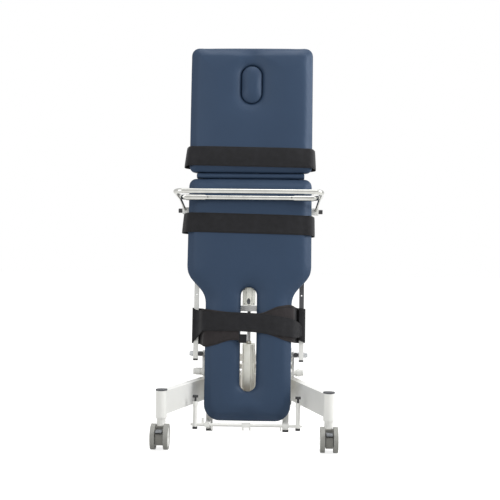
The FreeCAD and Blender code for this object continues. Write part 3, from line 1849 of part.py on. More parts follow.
def knee_shape():
    """A wide band over both shins, hooked round the two side rails."""
    gap = float(s.seat_gap)
    thick = float(s.strap_thickness)
    front = float(pad_top) + float(s.pad_crown) * 0.8 + gap
    leg = float(s.leg_half_width) + float(s.strap_clearance)
    out = float(s.knee_side_x)
    rail_front = float(rail_half) + float(s.strap_rail_thickness) + gap
    rail_back = float(rail_half) - gap
    edge = float(s.pad_edge)
    low = float(s.knee_strap_u) - float(s.knee_strap_width) / 2
    high = float(s.knee_strap_u) + float(s.knee_strap_width) / 2
    inner = float(s.strap_rail_x) - float(s.strap_rail_width) / 2 - gap
    path = [
        (inner, rail_back - thick),
        (out, rail_back - thick),
        (out, rail_front + edge),
        (leg + edge, front - edge * 2),
        (leg - edge, front),
        (-leg + edge, front),
        (-leg - edge, front - edge * 2),
        (-out, rail_front + edge),
        (-out, rail_back - thick),
        (-inner, rail_back - thick),
    ]
    normals = []
    for i in range(len(path) - 1):
        dx = path[i + 1][0] - path[i][0]
        dw = path[i + 1][1] - path[i][1]
        length = math.hypot(dx, dw)
        normals.append((dw / length, -dx / length))
    outer = []
    for i, (x, w) in enumerate(path):
        a = normals[max(i - 1, 0)]
        b = normals[min(i, len(normals) - 1)]
        scale = thick / (1 + a[0] * b[0] + a[1] * b[1])
        outer.append((x + (a[0] + b[0]) * scale, w + (a[1] + b[1]) * scale))
    ring = path + outer[::-1]
    wire = Part.makePolygon([vec(x, low, w) for x, w in ring + ring[:1]])
    return Part.Face(wire).extrude(vec(0, high - low, 0))


feature("knee_strap", knee_shape())


# Handrail, a closed loop square to the pad
def rounded_loop(half, near, far, radius, u):
    """A rectangle with round corners in x and w at one height u."""
    corners = [(half, near, 0), (half, far, 0), (-half, far, 0), (-half, near, 0)]
    mids = [
        ((half - radius, near), (half, near + radius), (1, -1)),
        ((half, far - radius), (half - radius, far), (1, 1)),
        ((-half + radius, far), (-half, far - radius), (-1, 1)),
        ((-half, near + radius), (-half + radius, near), (-1, -1)),
    ]
    edges = []
    bend = radius * (1 - math.sqrt(0.5))
    last = mids[-1][1]
    for i, (start, end, lean) in enumerate(mids):
        edges.append(Part.LineSegment(vec(last[0], u, last[1]), vec(start[0], u, start[1])).toShape())
        corner = corners[i]
        middle = (corner[0] - lean[0] * bend, corner[1] - lean[1] * bend)
        edges.append(
            Part.Arc(
                vec(start[0], u, start[1]), vec(middle[0], u, middle[1]), vec(end[0], u, end[1])
            ).toShape()
        )
        last = end
    return Part.Wire(edges)


def tube_along(wire, radius, start, direction):
    profile = Part.Wire([Part.Circle(start, direction, radius).toShape()])
    return wire.makePipeShell([profile], True, False)


def bar(radius, start, end):
    return Part.makeCylinder(radius, (end - start).Length, start, end - start)


half = float(s.handrail_half_width) - float(s.handrail_radius)
near = float(s.handrail_rear_w)
far = float(s.handrail_front_w)
rail_u = float(s.handrail_u)
loop = rounded_loop(half, near, far, float(s.handrail_corner), rail_u)
first = vec(float(s.handrail_corner) - half, rail_u, near)
handrail = tube_along(loop, float(s.handrail_radius), first, FreeCAD.Vector(1, 0, 0))
for sign in (-1, 1):
    sleeve = bar(
        float(s.handrail_sleeve_radius),
        vec(sign * float(s.handrail_sleeve_end), rail_u, near),
        vec(sign * (half - float(s.handrail_corner)), rail_u, near),
    )
    foot = vec(
        sign * float(s.handrail_arm_x),
        rail_u - float(s.handrail_arm_drop),
        float(s.handrail_foot_w),
    )
    top = vec(sign * half, rail_u, near + float(s.handrail_corner))
    arm = bar(float(s.handrail_arm_radius), foot, top)
    handrail = handrail.fuse(sleeve).fuse(arm)
feature("handrail", handrail)

clamps = []
size = float(s.handrail_clamp_size)
for sign in (-1, 1):
    foot_u = rail_u - float(s.handrail_arm_drop)
    rail_inner = float(s.strap_rail_x) - float(s.strap_rail_width) / 2
    block_low = foot_u - size / 2
    reach = float(s.handrail_arm_x) + size / 2
    back_w = float(rail_half) - size / 2
    block = Part.makeBox(
        reach - rail_inner + size / 4,
        size,
        float(board_w) - float(s.seat_gap) - back_w,
        vec(rail_inner - size / 4, block_low, back_w),
    )
    room = Part.makeBox(
        float(s.strap_rail_width) + 2 * float(s.slide_gap),
        size * 2,
        float(s.strap_rail_thickness) + 2 * float(s.slide_gap),
        vec(
            rail_inner - float(s.slide_gap),
            foot_u - size,
            float(rail_half) - float(s.slide_gap),
        ),
    )
    knob = Part.makeCylinder(
        float(s.handrail_knob_radius),
        float(s.handrail_knob_length),
        vec(reach, foot_u, float(rail_half)),
        FreeCAD.Vector(1, 0, 0),
    )
    shape = block.cut(room).fuse(knob)
    arm_line = vec(half, rail_u, near + float(s.handrail_corner)) - vec(
        s.handrail_arm_x, foot_u, s.handrail_foot_w
    )
    socket = Part.makeCylinder(
        float(s.handrail_arm_radius) + float(s.running_gap),
        arm_line.Length,
        vec(s.handrail_arm_x, foot_u, s.handrail_foot_w),
        arm_line,
    )
    shape = shape.cut(socket)
    if sign < 0:
        shape = shape.mirror(FreeCAD.Vector(0, 0, 0), FreeCAD.Vector(1, 0, 0))
    clamps.append(shape)
feature("handrail_clamps", Part.makeCompound(clamps))

# Foot frame, sliding in the lower ends of the rails
foot_parts = []
for side, sign in (("left", -1), ("right", 1)):
    foot_parts.append(
        square_tube(
            f"foot_post_{side}",
            [s.foot_post_size, s.foot_post_end - s.foot_post_start, s.foot_post_size],
            s.foot_post_wall,
            [sign * s.frame_rail_x, (s.foot_post_start + s.foot_post_end) / 2, 0],
        )
    )
for side, sign in (("left", -1), ("right", 1)):
    foot_parts.append(
        box(
            f"foot_bracket_{side}",
            [
                s.foot_bracket_width,
                s.foot_bracket_depth,
                s.foot_rod_w - s.foot_post_size / 2 + s.foot_bracket_depth / 2,
            ],
            [
                sign * s.frame_rail_x,
                s.foot_rod_u,
                (s.foot_rod_w + s.foot_post_size / 2 + s.foot_bracket_depth / 2) / 2,
            ],
        )
    )
rod_room = cylinder(
    "foot_rod_room",
    s.foot_rod_radius,
    2 * s.foot_rod_half_length,
    [-s.foot_rod_half_length, s.foot_rod_u, s.foot_rod_w],
    "x",
)
piece("foot_posts", on_frame(cut("foot_posts", fuse("foot_posts_whole", foot_parts), [rod_room])))
end_caps = []
for side, sign in (("left", -1), ("right", 1)):
    end_caps.append(
        box(
            f"foot_post_cap_{side}",
            [s.foot_post_size, s.foot_cap_length, s.foot_post_size],
            [sign * s.frame_rail_x, s.foot_post_start - s.foot_cap_length / 2, 0],
        )
    )
    end_caps.append(
        cylinder(
            f"foot_strut_cap_{side}",
            s.foot_collar_radius,
            s.foot_strut_cap,
            [
                sign * s.foot_strut_x,
                s.foot_strut_start - s.foot_strut_cap,
                s.foot_rod_w,
            ],
            "y",
        )
    )
piece("foot_post_caps", on_frame(group("foot_post_caps", end_caps)))

rod_parts = [
    cylinder(
        "foot_rod_bar",
        s.foot_rod_radius,
        2 * s.foot_rod_half_length,
        [-s.foot_rod_half_length, s.foot_rod_u, s.foot_rod_w],
        "x",
    ),
    box(
        "foot_centre_block",
        [s.foot_centre_block, s.foot_bracket_depth, s.foot_bracket_depth],
        [0, s.foot_rod_u, s.foot_rod_w],
    ),
    box(
        "foot_tab",
        [s.foot_tab_width, s.foot_tab_length, s.foot_rod_radius],
        [-s.foot_tab_x, s.foot_rod_u + s.foot_tab_length / 2, s.foot_rod_w],
    ),
]
for side, sign in (("left", -1), ("right", 1)):
    edge = s.foot_rod_half_length
    start = edge if sign > 0 else -edge - s.foot_rod_tip_length
    rod_parts.append(
        cylinder(
            f"foot_rod_tip_{side}",
            s.foot_rod_tip_radius,
            s.foot_rod_tip_length,
            [start, s.foot_rod_u, s.foot_rod_w],
            "x",
        )
    )
    for tag, x in (("inner", s.foot_hook_inner_x), ("outer", s.foot_hook_outer_x)):
        rod_parts.append(
            box(
                f"foot_hook_{side}_{tag}",
                [s.foot_hook_thickness, s.foot_hook_reach, s.foot_rod_radius * 2],
                [sign * x, s.foot_rod_u - s.foot_hook_reach / 2, s.foot_rod_w],
            )
        )
    x = sign * s.foot_strut_x
    rod_parts.append(
        cylinder(
            f"foot_strut_{side}_tube",
            s.foot_strut_radius,
            s.foot_strut_end - s.foot_strut_start,
            [x, s.foot_strut_start, s.foot_rod_w],
            "y",
        )
    )
    rod_parts.append(
        cylinder(
            f"foot_strut_{side}_collar",
            s.foot_collar_radius,
            s.foot_collar_length,
            [x, s.foot_strut_end - s.foot_collar_length, s.foot_rod_w],
            "y",
        )
    )
piece("foot_rod", on_frame(fuse("foot_rod", rod_parts)))
for side, sign in (("left", -1), ("right", 1)):
    x = sign * s.foot_strut_x
    stem = cylinder(
        f"foot_tee_{side}_stem",
        s.foot_tee_radius * 0.8,
        s.foot_tee_stem,
        [x, s.foot_strut_end, s.foot_rod_w],
        "y",
    )
    head = cylinder(
        f"foot_tee_{side}_head",
        s.foot_tee_radius,
        2 * s.foot_tee_half_length,
        [x - s.foot_tee_half_length, s.foot_strut_end + s.foot_tee_stem, s.foot_rod_w],
        "x",
    )
    piece(f"foot_tee_knob_{side}", on_frame(fuse(f"foot_tee_knob_{side}", [stem, head])))

doc.recompute()

faults = []
for thing in doc.Objects:
    if "Invalid" in thing.State or "Error" in thing.State:
        faults.append(f"{thing.Name}: {thing.State}")
for thing in pieces:
    if thing.Shape.isNull() or not thing.Shape.isValid() or not thing.Shape.Solids:
        faults.append(f"{thing.Label}: no valid solid")
    elif thing.Shape.Volume <= 0:
        faults.append(f"{thing.Label}: no volume")
if faults:
    raise SystemExit("\n".join(faults))

os.makedirs("parts", exist_ok=True)
for thing in pieces:
    thing.Shape.exportStep(f"parts/{thing.Label}.step")
print(len(pieces), "pieces")
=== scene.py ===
import bpy, bmesh, json, math
from mathutils import Matrix, Vector
from mathutils.bvhtree import BVHTree
from mathutils.kdtree import KDTree


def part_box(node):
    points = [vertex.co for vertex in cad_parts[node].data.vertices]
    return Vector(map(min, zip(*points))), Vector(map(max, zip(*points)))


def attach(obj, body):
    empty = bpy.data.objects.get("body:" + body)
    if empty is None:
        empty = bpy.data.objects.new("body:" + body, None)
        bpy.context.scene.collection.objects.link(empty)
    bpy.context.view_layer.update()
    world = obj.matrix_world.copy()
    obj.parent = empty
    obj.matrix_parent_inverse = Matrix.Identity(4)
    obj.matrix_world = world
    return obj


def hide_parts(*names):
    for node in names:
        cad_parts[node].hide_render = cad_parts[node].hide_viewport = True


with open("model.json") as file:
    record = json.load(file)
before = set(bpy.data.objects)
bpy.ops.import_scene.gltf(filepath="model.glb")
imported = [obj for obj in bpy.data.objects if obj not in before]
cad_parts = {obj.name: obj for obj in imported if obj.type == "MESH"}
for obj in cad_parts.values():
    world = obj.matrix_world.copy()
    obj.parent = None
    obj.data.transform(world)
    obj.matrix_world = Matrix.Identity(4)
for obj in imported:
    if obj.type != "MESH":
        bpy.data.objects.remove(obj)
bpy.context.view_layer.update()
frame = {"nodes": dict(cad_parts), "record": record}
nodes = frame["nodes"]
print("stage: frame loaded,", len(nodes), "pieces")

# The table's own directions: x across, u up the pad from its foot, w out of the pad, all in metres
tableLie = {"tilt": math.radians(85), "pivotY": -0.260, "pivotZ": 0.424, "pivotU": 0.345}


def onTable(x, u, w):
    along = u - tableLie["pivotU"]
    c, s = math.cos(tableLie["tilt"]), math.sin(tableLie["tilt"])
    return Vector((x, tableLie["pivotY"] + along * c - w * s, tableLie["pivotZ"] + along * s + w * c))


def offTable(point):
    c, s = math.cos(tableLie["tilt"]), math.sin(tableLie["tilt"])
    y, z = point.y - tableLie["pivotY"], point.z - tableLie["pivotZ"]
    return point.x, y * c + z * s + tableLie["pivotU"], z * c - y * s


outward = onTable(0, 0, 1) - onTable(0, 0, 0)
upward = onTable(0, 1, 0) - onTable(0, 0, 0)


# 0 up to start, 1 from start + span on, and a straight rise between
def fade(value, start, span):
    return min(1, max(0, (value - start) / span))


def toLinear(hexColour):
    parts = [int(hexColour[i:i + 2], 16) / 255 for i in (1, 3, 5)]
    return tuple(p / 12.92 if p <= 0.04045 else ((p + 0.055) / 1.055) ** 2.4 for p in parts) + (1.0,)


def perMillimetres(size):
    return 1000 / size  # texture scale that repeats about every size millimetres


def addNode(tree, kind, settings={}, values={}, links={}):
    node = tree.nodes.new("ShaderNode" + kind)
    for name, value in settings.items():
        setattr(node, name, value)
    for name, value in values.items():
        node.inputs[name].default_value = value
    for name, source in links.items():
        tree.links.new(source, node.inputs[name])
    return node


asColour = {"data_type": "RGBA"}  # has a Mix node mix colours


def startMaterial(name, metallic=0.0, ior=1.5):
    material = bpy.data.materials.new(name)
    material.use_nodes = True
    tree = material.node_tree
    shader = tree.nodes["Principled BSDF"]
    shader.inputs["Metallic"].default_value = metallic
    shader.inputs["IOR"].default_value = ior
    return material, tree, shader


# Links the colour, a roughness that follows one value, and a relief that follows another
def dress(tree, shader, look, colour, height, roughBy):
    first, last = look["roughness"]
    rough = addNode(tree, "MapRange", {}, {"To Min": first, "To Max": last}, {"Value": roughBy})
    bump = addNode(tree, "Bump", {}, {"Strength": look["relief"], "Distance": look["depth"]}, {"Height": height})
    tree.links.new(colour, shader.inputs["Base Color"])
    tree.links.new(rough.outputs["Result"], shader.inputs["Roughness"])
    tree.links.new(bump.outputs["Normal"], shader.inputs["Normal"])


# The place on the piece, a soft cloud for its colour and a fine grain for its roughness and relief
def cloudAndGrain(tree, look):
    place = addNode(tree, "TexCoord").outputs["Object"]
    cloud, grain = (addNode(tree, "TexNoise", {}, {"Scale": perMillimetres(look[size]), "Detail": detail},
                            {"Vector": place}).outputs["Fac"] for size, detail in (("cloudSize", 3), ("grainSize", 2)))
    return place, cloud, grain


# Colour pairs that more than one finish shares
whiteCoat = ("#E2E2DE", "#E9E9E6")
blackMoulding = ("#1B1B1D", "#242426")
coverBlue = ("#213146", "#27384E")
cloudEdges = (0.3, 0.7)  # between these values of the cloud one colour turns into the other


# One finish: a faint cloud of two colours, a roughness that wanders, and a fine relief a quarter of a grain deep
def finish(name, look):
    material, tree, shader = startMaterial(name, look.get("metallic", 0.0))
    place, cloud, grain = cloudAndGrain(tree, look)
    ramp = addNode(tree, "ValToRGB", {}, {}, {"Fac": cloud})
    for step, edge, colour in zip(ramp.color_ramp.elements, cloudEdges, look["colours"]):
        step.position, step.color = edge, toLinear(colour)
    dress(tree, shader, {**look, "depth": look["grainSize"] / 4000}, ramp.outputs["Color"], grain, grain)
    return material


# Powder-coated steel, sprayed and baked: a satin white skin with a fine orange peel
powderCoat = finish("PowderCoatedSteelSatinWhite", {
    "colours": whiteCoat, "cloudSize": 220, "grainSize": 1.6, "roughness": (0.30, 0.42), "relief": 0.12})
# Bright chromium plate on drawn tube: sharp reflections with faint polishing haze
chromePlate = finish("ChromePlatedSteelPolished", {
    "colours": ("#B2B2AE", "#C0C0BC"), "cloudSize": 60, "grainSize": 4, "roughness": (0.07, 0.16), "relief": 0.03,
    "metallic": 1.0})
# Zinc-plated turned steel: dull metal with a slightly cloudy passivated surface
zincSteel = finish("ZincPlatedSteelTurned", {
    "colours": ("#A9ABAE", "#BDBFC0"), "cloudSize": 12, "grainSize": 0.8, "roughness": (0.28, 0.42), "relief": 0.15,
    "metallic": 1.0})
# Injection-moulded ABS actuator shell: warm light grey with a spark-eroded texture
housingAbs = finish("AbsMouldedWarmGrey", {
    "colours": ("#D3D1C8", "#DCDAD2"), "cloudSize": 90, "grainSize": 1.0, "roughness": (0.42, 0.55), "relief": 0.25})
# Glass-filled nylon of pedals and grommet: mid grey, evenly matt
greyNylon = finish("NylonMouldedGrey", {
    "colours": ("#6F7276", "#7A7D80"), "cloudSize": 40, "grainSize": 0.9, "roughness": (0.45, 0.58), "relief": 0.25})
# Flat post caps of the same nylon in dark grey: a thin dark line over each white post
capNylon = finish("NylonMouldedDarkGrey", {
    "colours": ("#3C3E42", "#46484C"), "cloudSize": 40, "grainSize": 0.9, "roughness": (0.5, 0.62), "relief": 0.25})
# Polypropylene knobs and tube plugs: near black, slightly glossy where hands rub
blackPlastic = finish("PolypropyleneMouldedBlack", {
    "colours": blackMoulding, "cloudSize": 15, "grainSize": 0.7, "roughness": (0.32, 0.5), "relief": 0.2})
# Extruded aluminium of the tilt actuator's body, clear anodised: a soft metallic sheen over fine drawn lines
extrudedAluminium = finish("AluminiumExtrudedClearAnodised", {
    "colours": ("#D4D4CB", "#DEDED7"), "cloudSize": 50, "grainSize": 0.8, "roughness": (0.40, 0.52), "relief": 0.1,
    "metallic": 1.0})


# 1 on the far side of a plane, else 0
def pastPlane(tree, place, point, way):
    height = addNode(tree, "VectorMath", {"operation": "DOT_PRODUCT"}, {1: tuple(way)}, {0: place})
    return addNode(tree, "Math", {"operation": "GREATER_THAN"}, {1: point.dot(way)},
                   {0: height.outputs["Value"]}).outputs["Value"]


# 1 further than a radius from the centre, measured along the given axes only, else 0
def pastRadius(tree, place, centre, axes, radius):
    away = addNode(tree, "VectorMath", {"operation": "SUBTRACT"}, {1: tuple(centre)}, {0: place})
    flat = addNode(tree, "VectorMath", {"operation": "MULTIPLY"}, {1: axes}, {0: away.outputs["Vector"]})
    reach = addNode(tree, "VectorMath", {"operation": "LENGTH"}, {}, {0: flat.outputs["Vector"]})
    return addNode(tree, "Math", {"operation": "GREATER_THAN"}, {1: radius},
                   {0: reach.outputs["Value"]}).outputs["Value"]


# Two finishes on one solid, told apart by a mask. Their roughness wanders, or differs like the colours do
def twoTone(name, look, makeMask):
    material, tree, shader = startMaterial(name)
    place, cloud, grain = cloudAndGrain(tree, look)
    mask = makeMask(tree, place)
    tones = [addNode(tree, "Mix", asColour, {6: toLinear(one), 7: toLinear(other)},
                     {0: cloud}).outputs[2] for one, other in look["colours"]]
    pick = addNode(tree, "Mix", asColour, {}, {0: mask, 6: tones[0], 7: tones[1]})
    dress(tree, shader, look, pick.outputs[2], grain, mask if look["roughByMask"] else grain)
    return material


# Handrail clamps: white-coated steel blocks whose outer ends are black moulded knobs
def clampMaterial():
    look = {"knobFrom": 0.3695, "colours": (whiteCoat, blackMoulding), "cloudSize": 30, "grainSize": 1.2,
            "roughness": (0.3, 0.45), "roughByMask": False, "relief": 0.15, "depth": 0.0003}
    return twoTone("PowderCoatedClampBlackKnob", look,
                   lambda tree, place: pastRadius(tree, place, (0, 0, 0), (1, 0, 0), look["knobFrom"]))


# Right strap rail: white powder coat all over; its upper part above the strap carries a dark grey painted shade
def railPaintedShadeMaterial():
    look = {"darkFrom": 0.53, "colours": (whiteCoat, ("#3E3E42", "#4A4A4E")), "cloudSize": 220, "grainSize": 1.6,
            "roughness": (0.3, 0.42), "roughByMask": False, "relief": 0.12, "depth": 0.0004}
    return twoTone("PowderCoatedSteelTwoTone", look,
                   lambda tree, place: pastPlane(tree, place, onTable(0, look["darkFrom"], 0), upward))


# Wheels: a grey TPE tread pressed on a pale nylon hub
def wheelMaterial(name, centre):
    look = {"hubRadius": 0.0465, "colours": (("#CDCDCA", "#DADAD7"), ("#868682", "#94948F")), "cloudSize": 25,
            "grainSize": 1.2, "roughness": (0.42, 0.68), "roughByMask": True, "relief": 0.25, "depth": 0.0003}
    return twoTone(name, look, lambda tree, place: pastRadius(tree, place, centre, (0, 1, 1), look["hubRadius"]))


# Castor hood: grey nylon below, and the white-coated steel stem that turns in the post above
def hoodMaterial(name, middle):
    look = {"postY": 0.65, "stemFoot": 0.086, "stemRadius": 0.0285,
            "colours": (("#6C6C67", "#7B7A75"), ("#E4E4E0", "#EBEBE8")), "cloudSize": 40, "grainSize": 0.9,
            "roughness": (0.52, 0.34), "roughByMask": True, "relief": 0.2, "depth": 0.0003}
    axis = (middle.x, math.copysign(look["postY"], middle.y), 0)

    def onStem(tree, place):
        above = pastPlane(tree, place, Vector((0, 0, look["stemFoot"])), Vector((0, 0, 1)))
        outside = pastRadius(tree, place, axis, (1, 1, 0), look["stemRadius"])
        return addNode(tree, "Math", {"operation": "GREATER_THAN"}, {}, {0: above, 1: outside}).outputs["Value"]

    return twoTone(name, look, onStem)


# Embossed PVC upholstery vinyl: a calendered leather grain of fine pebbles, satin, bluish at grazing light
def makeVinyl():
    look = {"colours": coverBlue, "pebble": 2.2, "crease": 0.35, "cloudSize": 260, "shine": "#D5E6FF",
            "shineLevel": 0.4, "relief": 0.35, "depth": 0.00025, "roughness": (0.58, 0.44)}  # in a crease, on a pebble
    material, tree, shader = startMaterial("PvcUpholsteryEmbossedSlateBlue", 0.0, 1.52)
    shader.inputs["Specular IOR Level"].default_value = look["shineLevel"]  # the grain breaks up the mirror image
    shader.inputs["Specular Tint"].default_value = toLinear(look["shine"])
    place = addNode(tree, "TexCoord").outputs["Object"]
    cloud = addNode(tree, "TexNoise", {}, {"Scale": perMillimetres(look["cloudSize"])}, {"Vector": place})
    ramp = addNode(tree, "ValToRGB", {}, {}, {"Fac": cloud.outputs["Fac"]})
    for step, colour in zip(ramp.color_ramp.elements, look["colours"]):
        step.color = toLinear(colour)
    pebbles = addNode(tree, "TexVoronoi", {"feature": "DISTANCE_TO_EDGE"},
                      {"Scale": perMillimetres(look["pebble"])}, {"Vector": place})
    relief = addNode(tree, "MapRange", {}, {"From Max": look["crease"]},
                     {"Value": pebbles.outputs["Distance"]}).outputs["Result"]
    dress(tree, shader, look, ramp.outputs["Color"], relief, relief)
    return material


# Woven polyamide webbing: matt black, ribbed across the band, with a sewn line beside each edge.
# The real ribs are near 1.5 mm, drawn coarser so that they show
def makeWebbing(name, colours):
    look = {"rib": 3.0, "ribWander": 0.6, "warp": 1.6, "warpWander": 0.4, "cloudSize": 35, "darkEdge": 0.35,
            "roughness": 0.88, "shineLevel": 0.25, "fuzz": 0.08, "fuzzRoughness": 0.5, "relief": 0.5, "depth": 0.0004,
            "seamFromEdge": 0.006, "seamWide": 0.0016, "seamColour": "#0C0C0D", "seamRelief": 0.8, "seamDepth": 0.0006}
    waveScale = 0.314  # Blender's wave bands repeat after 0.314 / scale
    material, tree, shader = startMaterial(name, 0.0, 1.53)
    for socket, value in (("Roughness", "roughness"), ("Specular IOR Level", "shineLevel"), ("Sheen Weight", "fuzz"),
                          ("Sheen Roughness", "fuzzRoughness")):
        shader.inputs[socket].default_value = look[value]
    flat = addNode(tree, "UVMap", {"uv_map": "flat"}).outputs["UV"]
    ribs = addNode(tree, "TexWave", {"bands_direction": "X"},
                   {"Scale": waveScale * perMillimetres(look["rib"]), "Distortion": look["ribWander"], "Detail": 1.0},
                   {"Vector": flat})
    warps = addNode(tree, "TexWave", {"bands_direction": "Y"},
                    {"Scale": waveScale * perMillimetres(look["warp"]), "Distortion": look["warpWander"]},
                    {"Vector": flat})
    weave = addNode(tree, "Math", {"operation": "MULTIPLY"}, {},
                    {0: ribs.outputs["Fac"], 1: warps.outputs["Fac"]}).outputs["Value"]
    cloud = addNode(tree, "TexNoise", {}, {"Scale": perMillimetres(look["cloudSize"]), "Detail": 4.0},
                    {"Vector": flat})
    tone = addNode(tree, "Math", {"operation": "ADD"}, {}, {0: weave, 1: cloud.outputs["Fac"]})
    ramp = addNode(tree, "ValToRGB", {}, {}, {"Fac": tone.outputs["Value"]})
    ramp.color_ramp.elements[0].position = look["darkEdge"]
    for step, colour in zip(ramp.color_ramp.elements, colours):
        step.color = toLinear(colour)
    hem = addNode(tree, "UVMap", {"uv_map": "hem"}).outputs["UV"]
    fromEdge = addNode(tree, "SeparateXYZ", {}, {}, {0: hem})
    seam = addNode(tree, "Math", {"operation": "COMPARE"},
                   {1: look["seamFromEdge"], 2: look["seamWide"] / 2}, {0: fromEdge.outputs["X"]}).outputs["Value"]
    colour = addNode(tree, "Mix", asColour, {7: toLinear(look["seamColour"])}, {0: seam, 6: ramp.outputs["Color"]})
    tree.links.new(colour.outputs[2], shader.inputs["Base Color"])
    woven = addNode(tree, "Bump", {}, {"Strength": look["relief"], "Distance": look["depth"]}, {"Height": weave})
    sewn = addNode(tree, "Bump", {"invert": True}, {"Strength": look["seamRelief"], "Distance": look["seamDepth"]},
                   {"Height": seam, "Normal": woven.outputs["Normal"]})
    tree.links.new(sewn.outputs["Normal"], shader.inputs["Normal"])
    return material


# Birch plywood, lacquered clear, bare behind only: the cover is pulled over its edges and front
def makePlywood():
    look = {"colours": ("#B08F63", "#CDB189"), "edges": (0.35, 0.75), "grain": 7, "stretch": 0.06, "wander": 0.4,
            "bareBelow": 0.0384, "roughness": (0.4, 0.5), "relief": 0.15, "depth": 0.0003}
    material, tree, shader = startMaterial("BirchPlywoodLacquered")
    place = addNode(tree, "TexCoord").outputs["Object"]
    turned = addNode(tree, "Mapping", {}, {"Rotation": (-tableLie["tilt"], 0, 0)}, {"Vector": place})
    stretched = addNode(tree, "Mapping", {}, {"Scale": (1.0, look["stretch"], 1.0)},
                        {"Vector": turned.outputs["Vector"]})
    grain = addNode(tree, "TexNoise", {},
                    {"Scale": perMillimetres(look["grain"]), "Detail": 5.0, "Distortion": look["wander"]},
                    {"Vector": stretched.outputs["Vector"]}).outputs["Fac"]
    ramp = addNode(tree, "ValToRGB", {}, {}, {"Fac": grain})
    for step, edge, colour in zip(ramp.color_ramp.elements, look["edges"], look["colours"]):
        step.position, step.color = edge, toLinear(colour)
    cover = addNode(tree, "Mix", asColour, {6: toLinear(coverBlue[0]), 7: toLinear(coverBlue[1])}, {0: grain})
    covered = pastPlane(tree, place, onTable(0, 0, look["bareBelow"]), outward)
    both = addNode(tree, "Mix", asColour, {}, {0: covered, 6: ramp.outputs["Color"], 7: cover.outputs[2]})
    dress(tree, shader, look, both.outputs[2], grain, grain)
    return material


vinyl = makeVinyl()
webbing = makeWebbing("PolyamideWebbingWovenBlack", ("#131315", "#232326"))
webbingSide = makeWebbing("PolyamideWebbingWovenFaded", ("#1E1B1C", "#302C2D"))

slotFinish = {
    "white_steel": powderCoat, "chrome": chromePlate, "steel": zincSteel, "housing_grey": housingAbs,
    "grey_plastic": greyNylon, "black_plastic": blackPlastic, "vinyl_blue": vinyl, "webbing_black": webbing,
    "plywood": makePlywood()}
ownFinish = {
    "tilt_actuator_housing": extrudedAluminium, "post_caps": capNylon, "handrail_clamps": clampMaterial(),
    "strap_rail_right": railPaintedShadeMaterial()}
slotOf = {part["node"]: part["material_slot"] for part in frame["record"]["subparts"]}
for name, piece in nodes.items():
    title = name.title().replace("_", "")
    isWheel = name.startswith("castor_") and name.endswith("_wheels")
    if isWheel or name.startswith("castor_") and name.endswith("_housing"):
        low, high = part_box(name)
        middle = (Vector(low) + Vector(high)) / 2
        material = wheelMaterial("Wheel" + title, middle) if isWheel else hoodMaterial("CastorHood" + title, middle)
    else:
        material = ownFinish.get(name) or slotFinish[slotOf[name]]
    piece.data.materials.clear()
    piece.data.materials.append(material)
    for face in piece.data.polygons:
        face.material_index = 0
print("stage: finishes on the frame")


def addObject(name, data):
    thing = bpy.data.objects.new(name, data)
    bpy.context.scene.collection.objects.link(thing)
    return thing


def makeMesh(name, points, faces, body, material, smooth=True):
    mesh = bpy.data.meshes.new(name)
    mesh.from_pydata([tuple(p) for p in points], [], faces)
    mesh.update()
    piece = addObject(name, mesh)
    mesh.materials.append(material)
    for face in mesh.polygons:
        face.use_smooth = smooth
    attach(piece, body)
    return piece


def evaluatedMesh(piece):
    deps = bpy.context.evaluated_depsgraph_get()
    return bpy.data.meshes.new_from_object(piece.evaluated_get(deps))


def bakeModifiers(piece):
    mesh = evaluatedMesh(piece)
    piece.modifiers.clear()
    old = piece.data
    piece.data = mesh
    bpy.data.meshes.remove(old)
    mesh.name = piece.name


# Pads are remeshed from the foam blocks. Each cover is blown up a little as a cloth held at the board:
# the board keeps the outline, so little of the sideways part is kept, and the face takes the swell
coverCloth = {"frames": 20, "sideways": 0.1, "settings": {
    "quality": 3, "mass": 0.3, "use_pressure": True, "uniform_pressure_force": 4.0, "vertex_group_mass": "board",
    "tension_stiffness": 8, "compression_stiffness": 8, "bending_stiffness": 2.0}}
oneRow = 0.8  # a row of the remeshed block lies within this part of a voxel
bigFoam = {"voxel": 0.006, "cap": 0.008, "settle": 14, "smooth": 3, "backW": 0.0503, "frontW": 0.112,
           "crownReach": 0.15, "crownDrop": 0.015, "fill": 0.8}
padLooks = {
    "mainPad": {**bigFoam, "node": "main_pad", "body": "table", "spread": ((0.001, 0.001), (0.001, 0.001))},
    "headPad": {**bigFoam, "node": "head_pad", "body": "head", "spread": ((0.001, 0.001), (0.001, 0.006))},
    "facePlug": {"voxel": 0.004, "cap": 0.004, "settle": 8, "smooth": 2, "backW": 0.0503, "frontW": 0.112,
                 "crownReach": 0.05, "crownDrop": 0.006, "fill": 0.7, "tuck": 0.0005, "node": "face_plug",
                 "body": "plug", "spread": ((0.0007, 0.0007), (0.0007, 0.0007))},
    "neckRoll": {"voxel": 0.004, "cap": 0.003, "settle": 8, "smooth": 2, "backW": 0.0205, "frontW": 0.1,
                 "crownReach": 0.01, "crownDrop": 0.0, "fill": 0.9, "node": "neck_bolster", "body": "table",
                 "spread": ((0, 0), (0.001, 0.001))}}


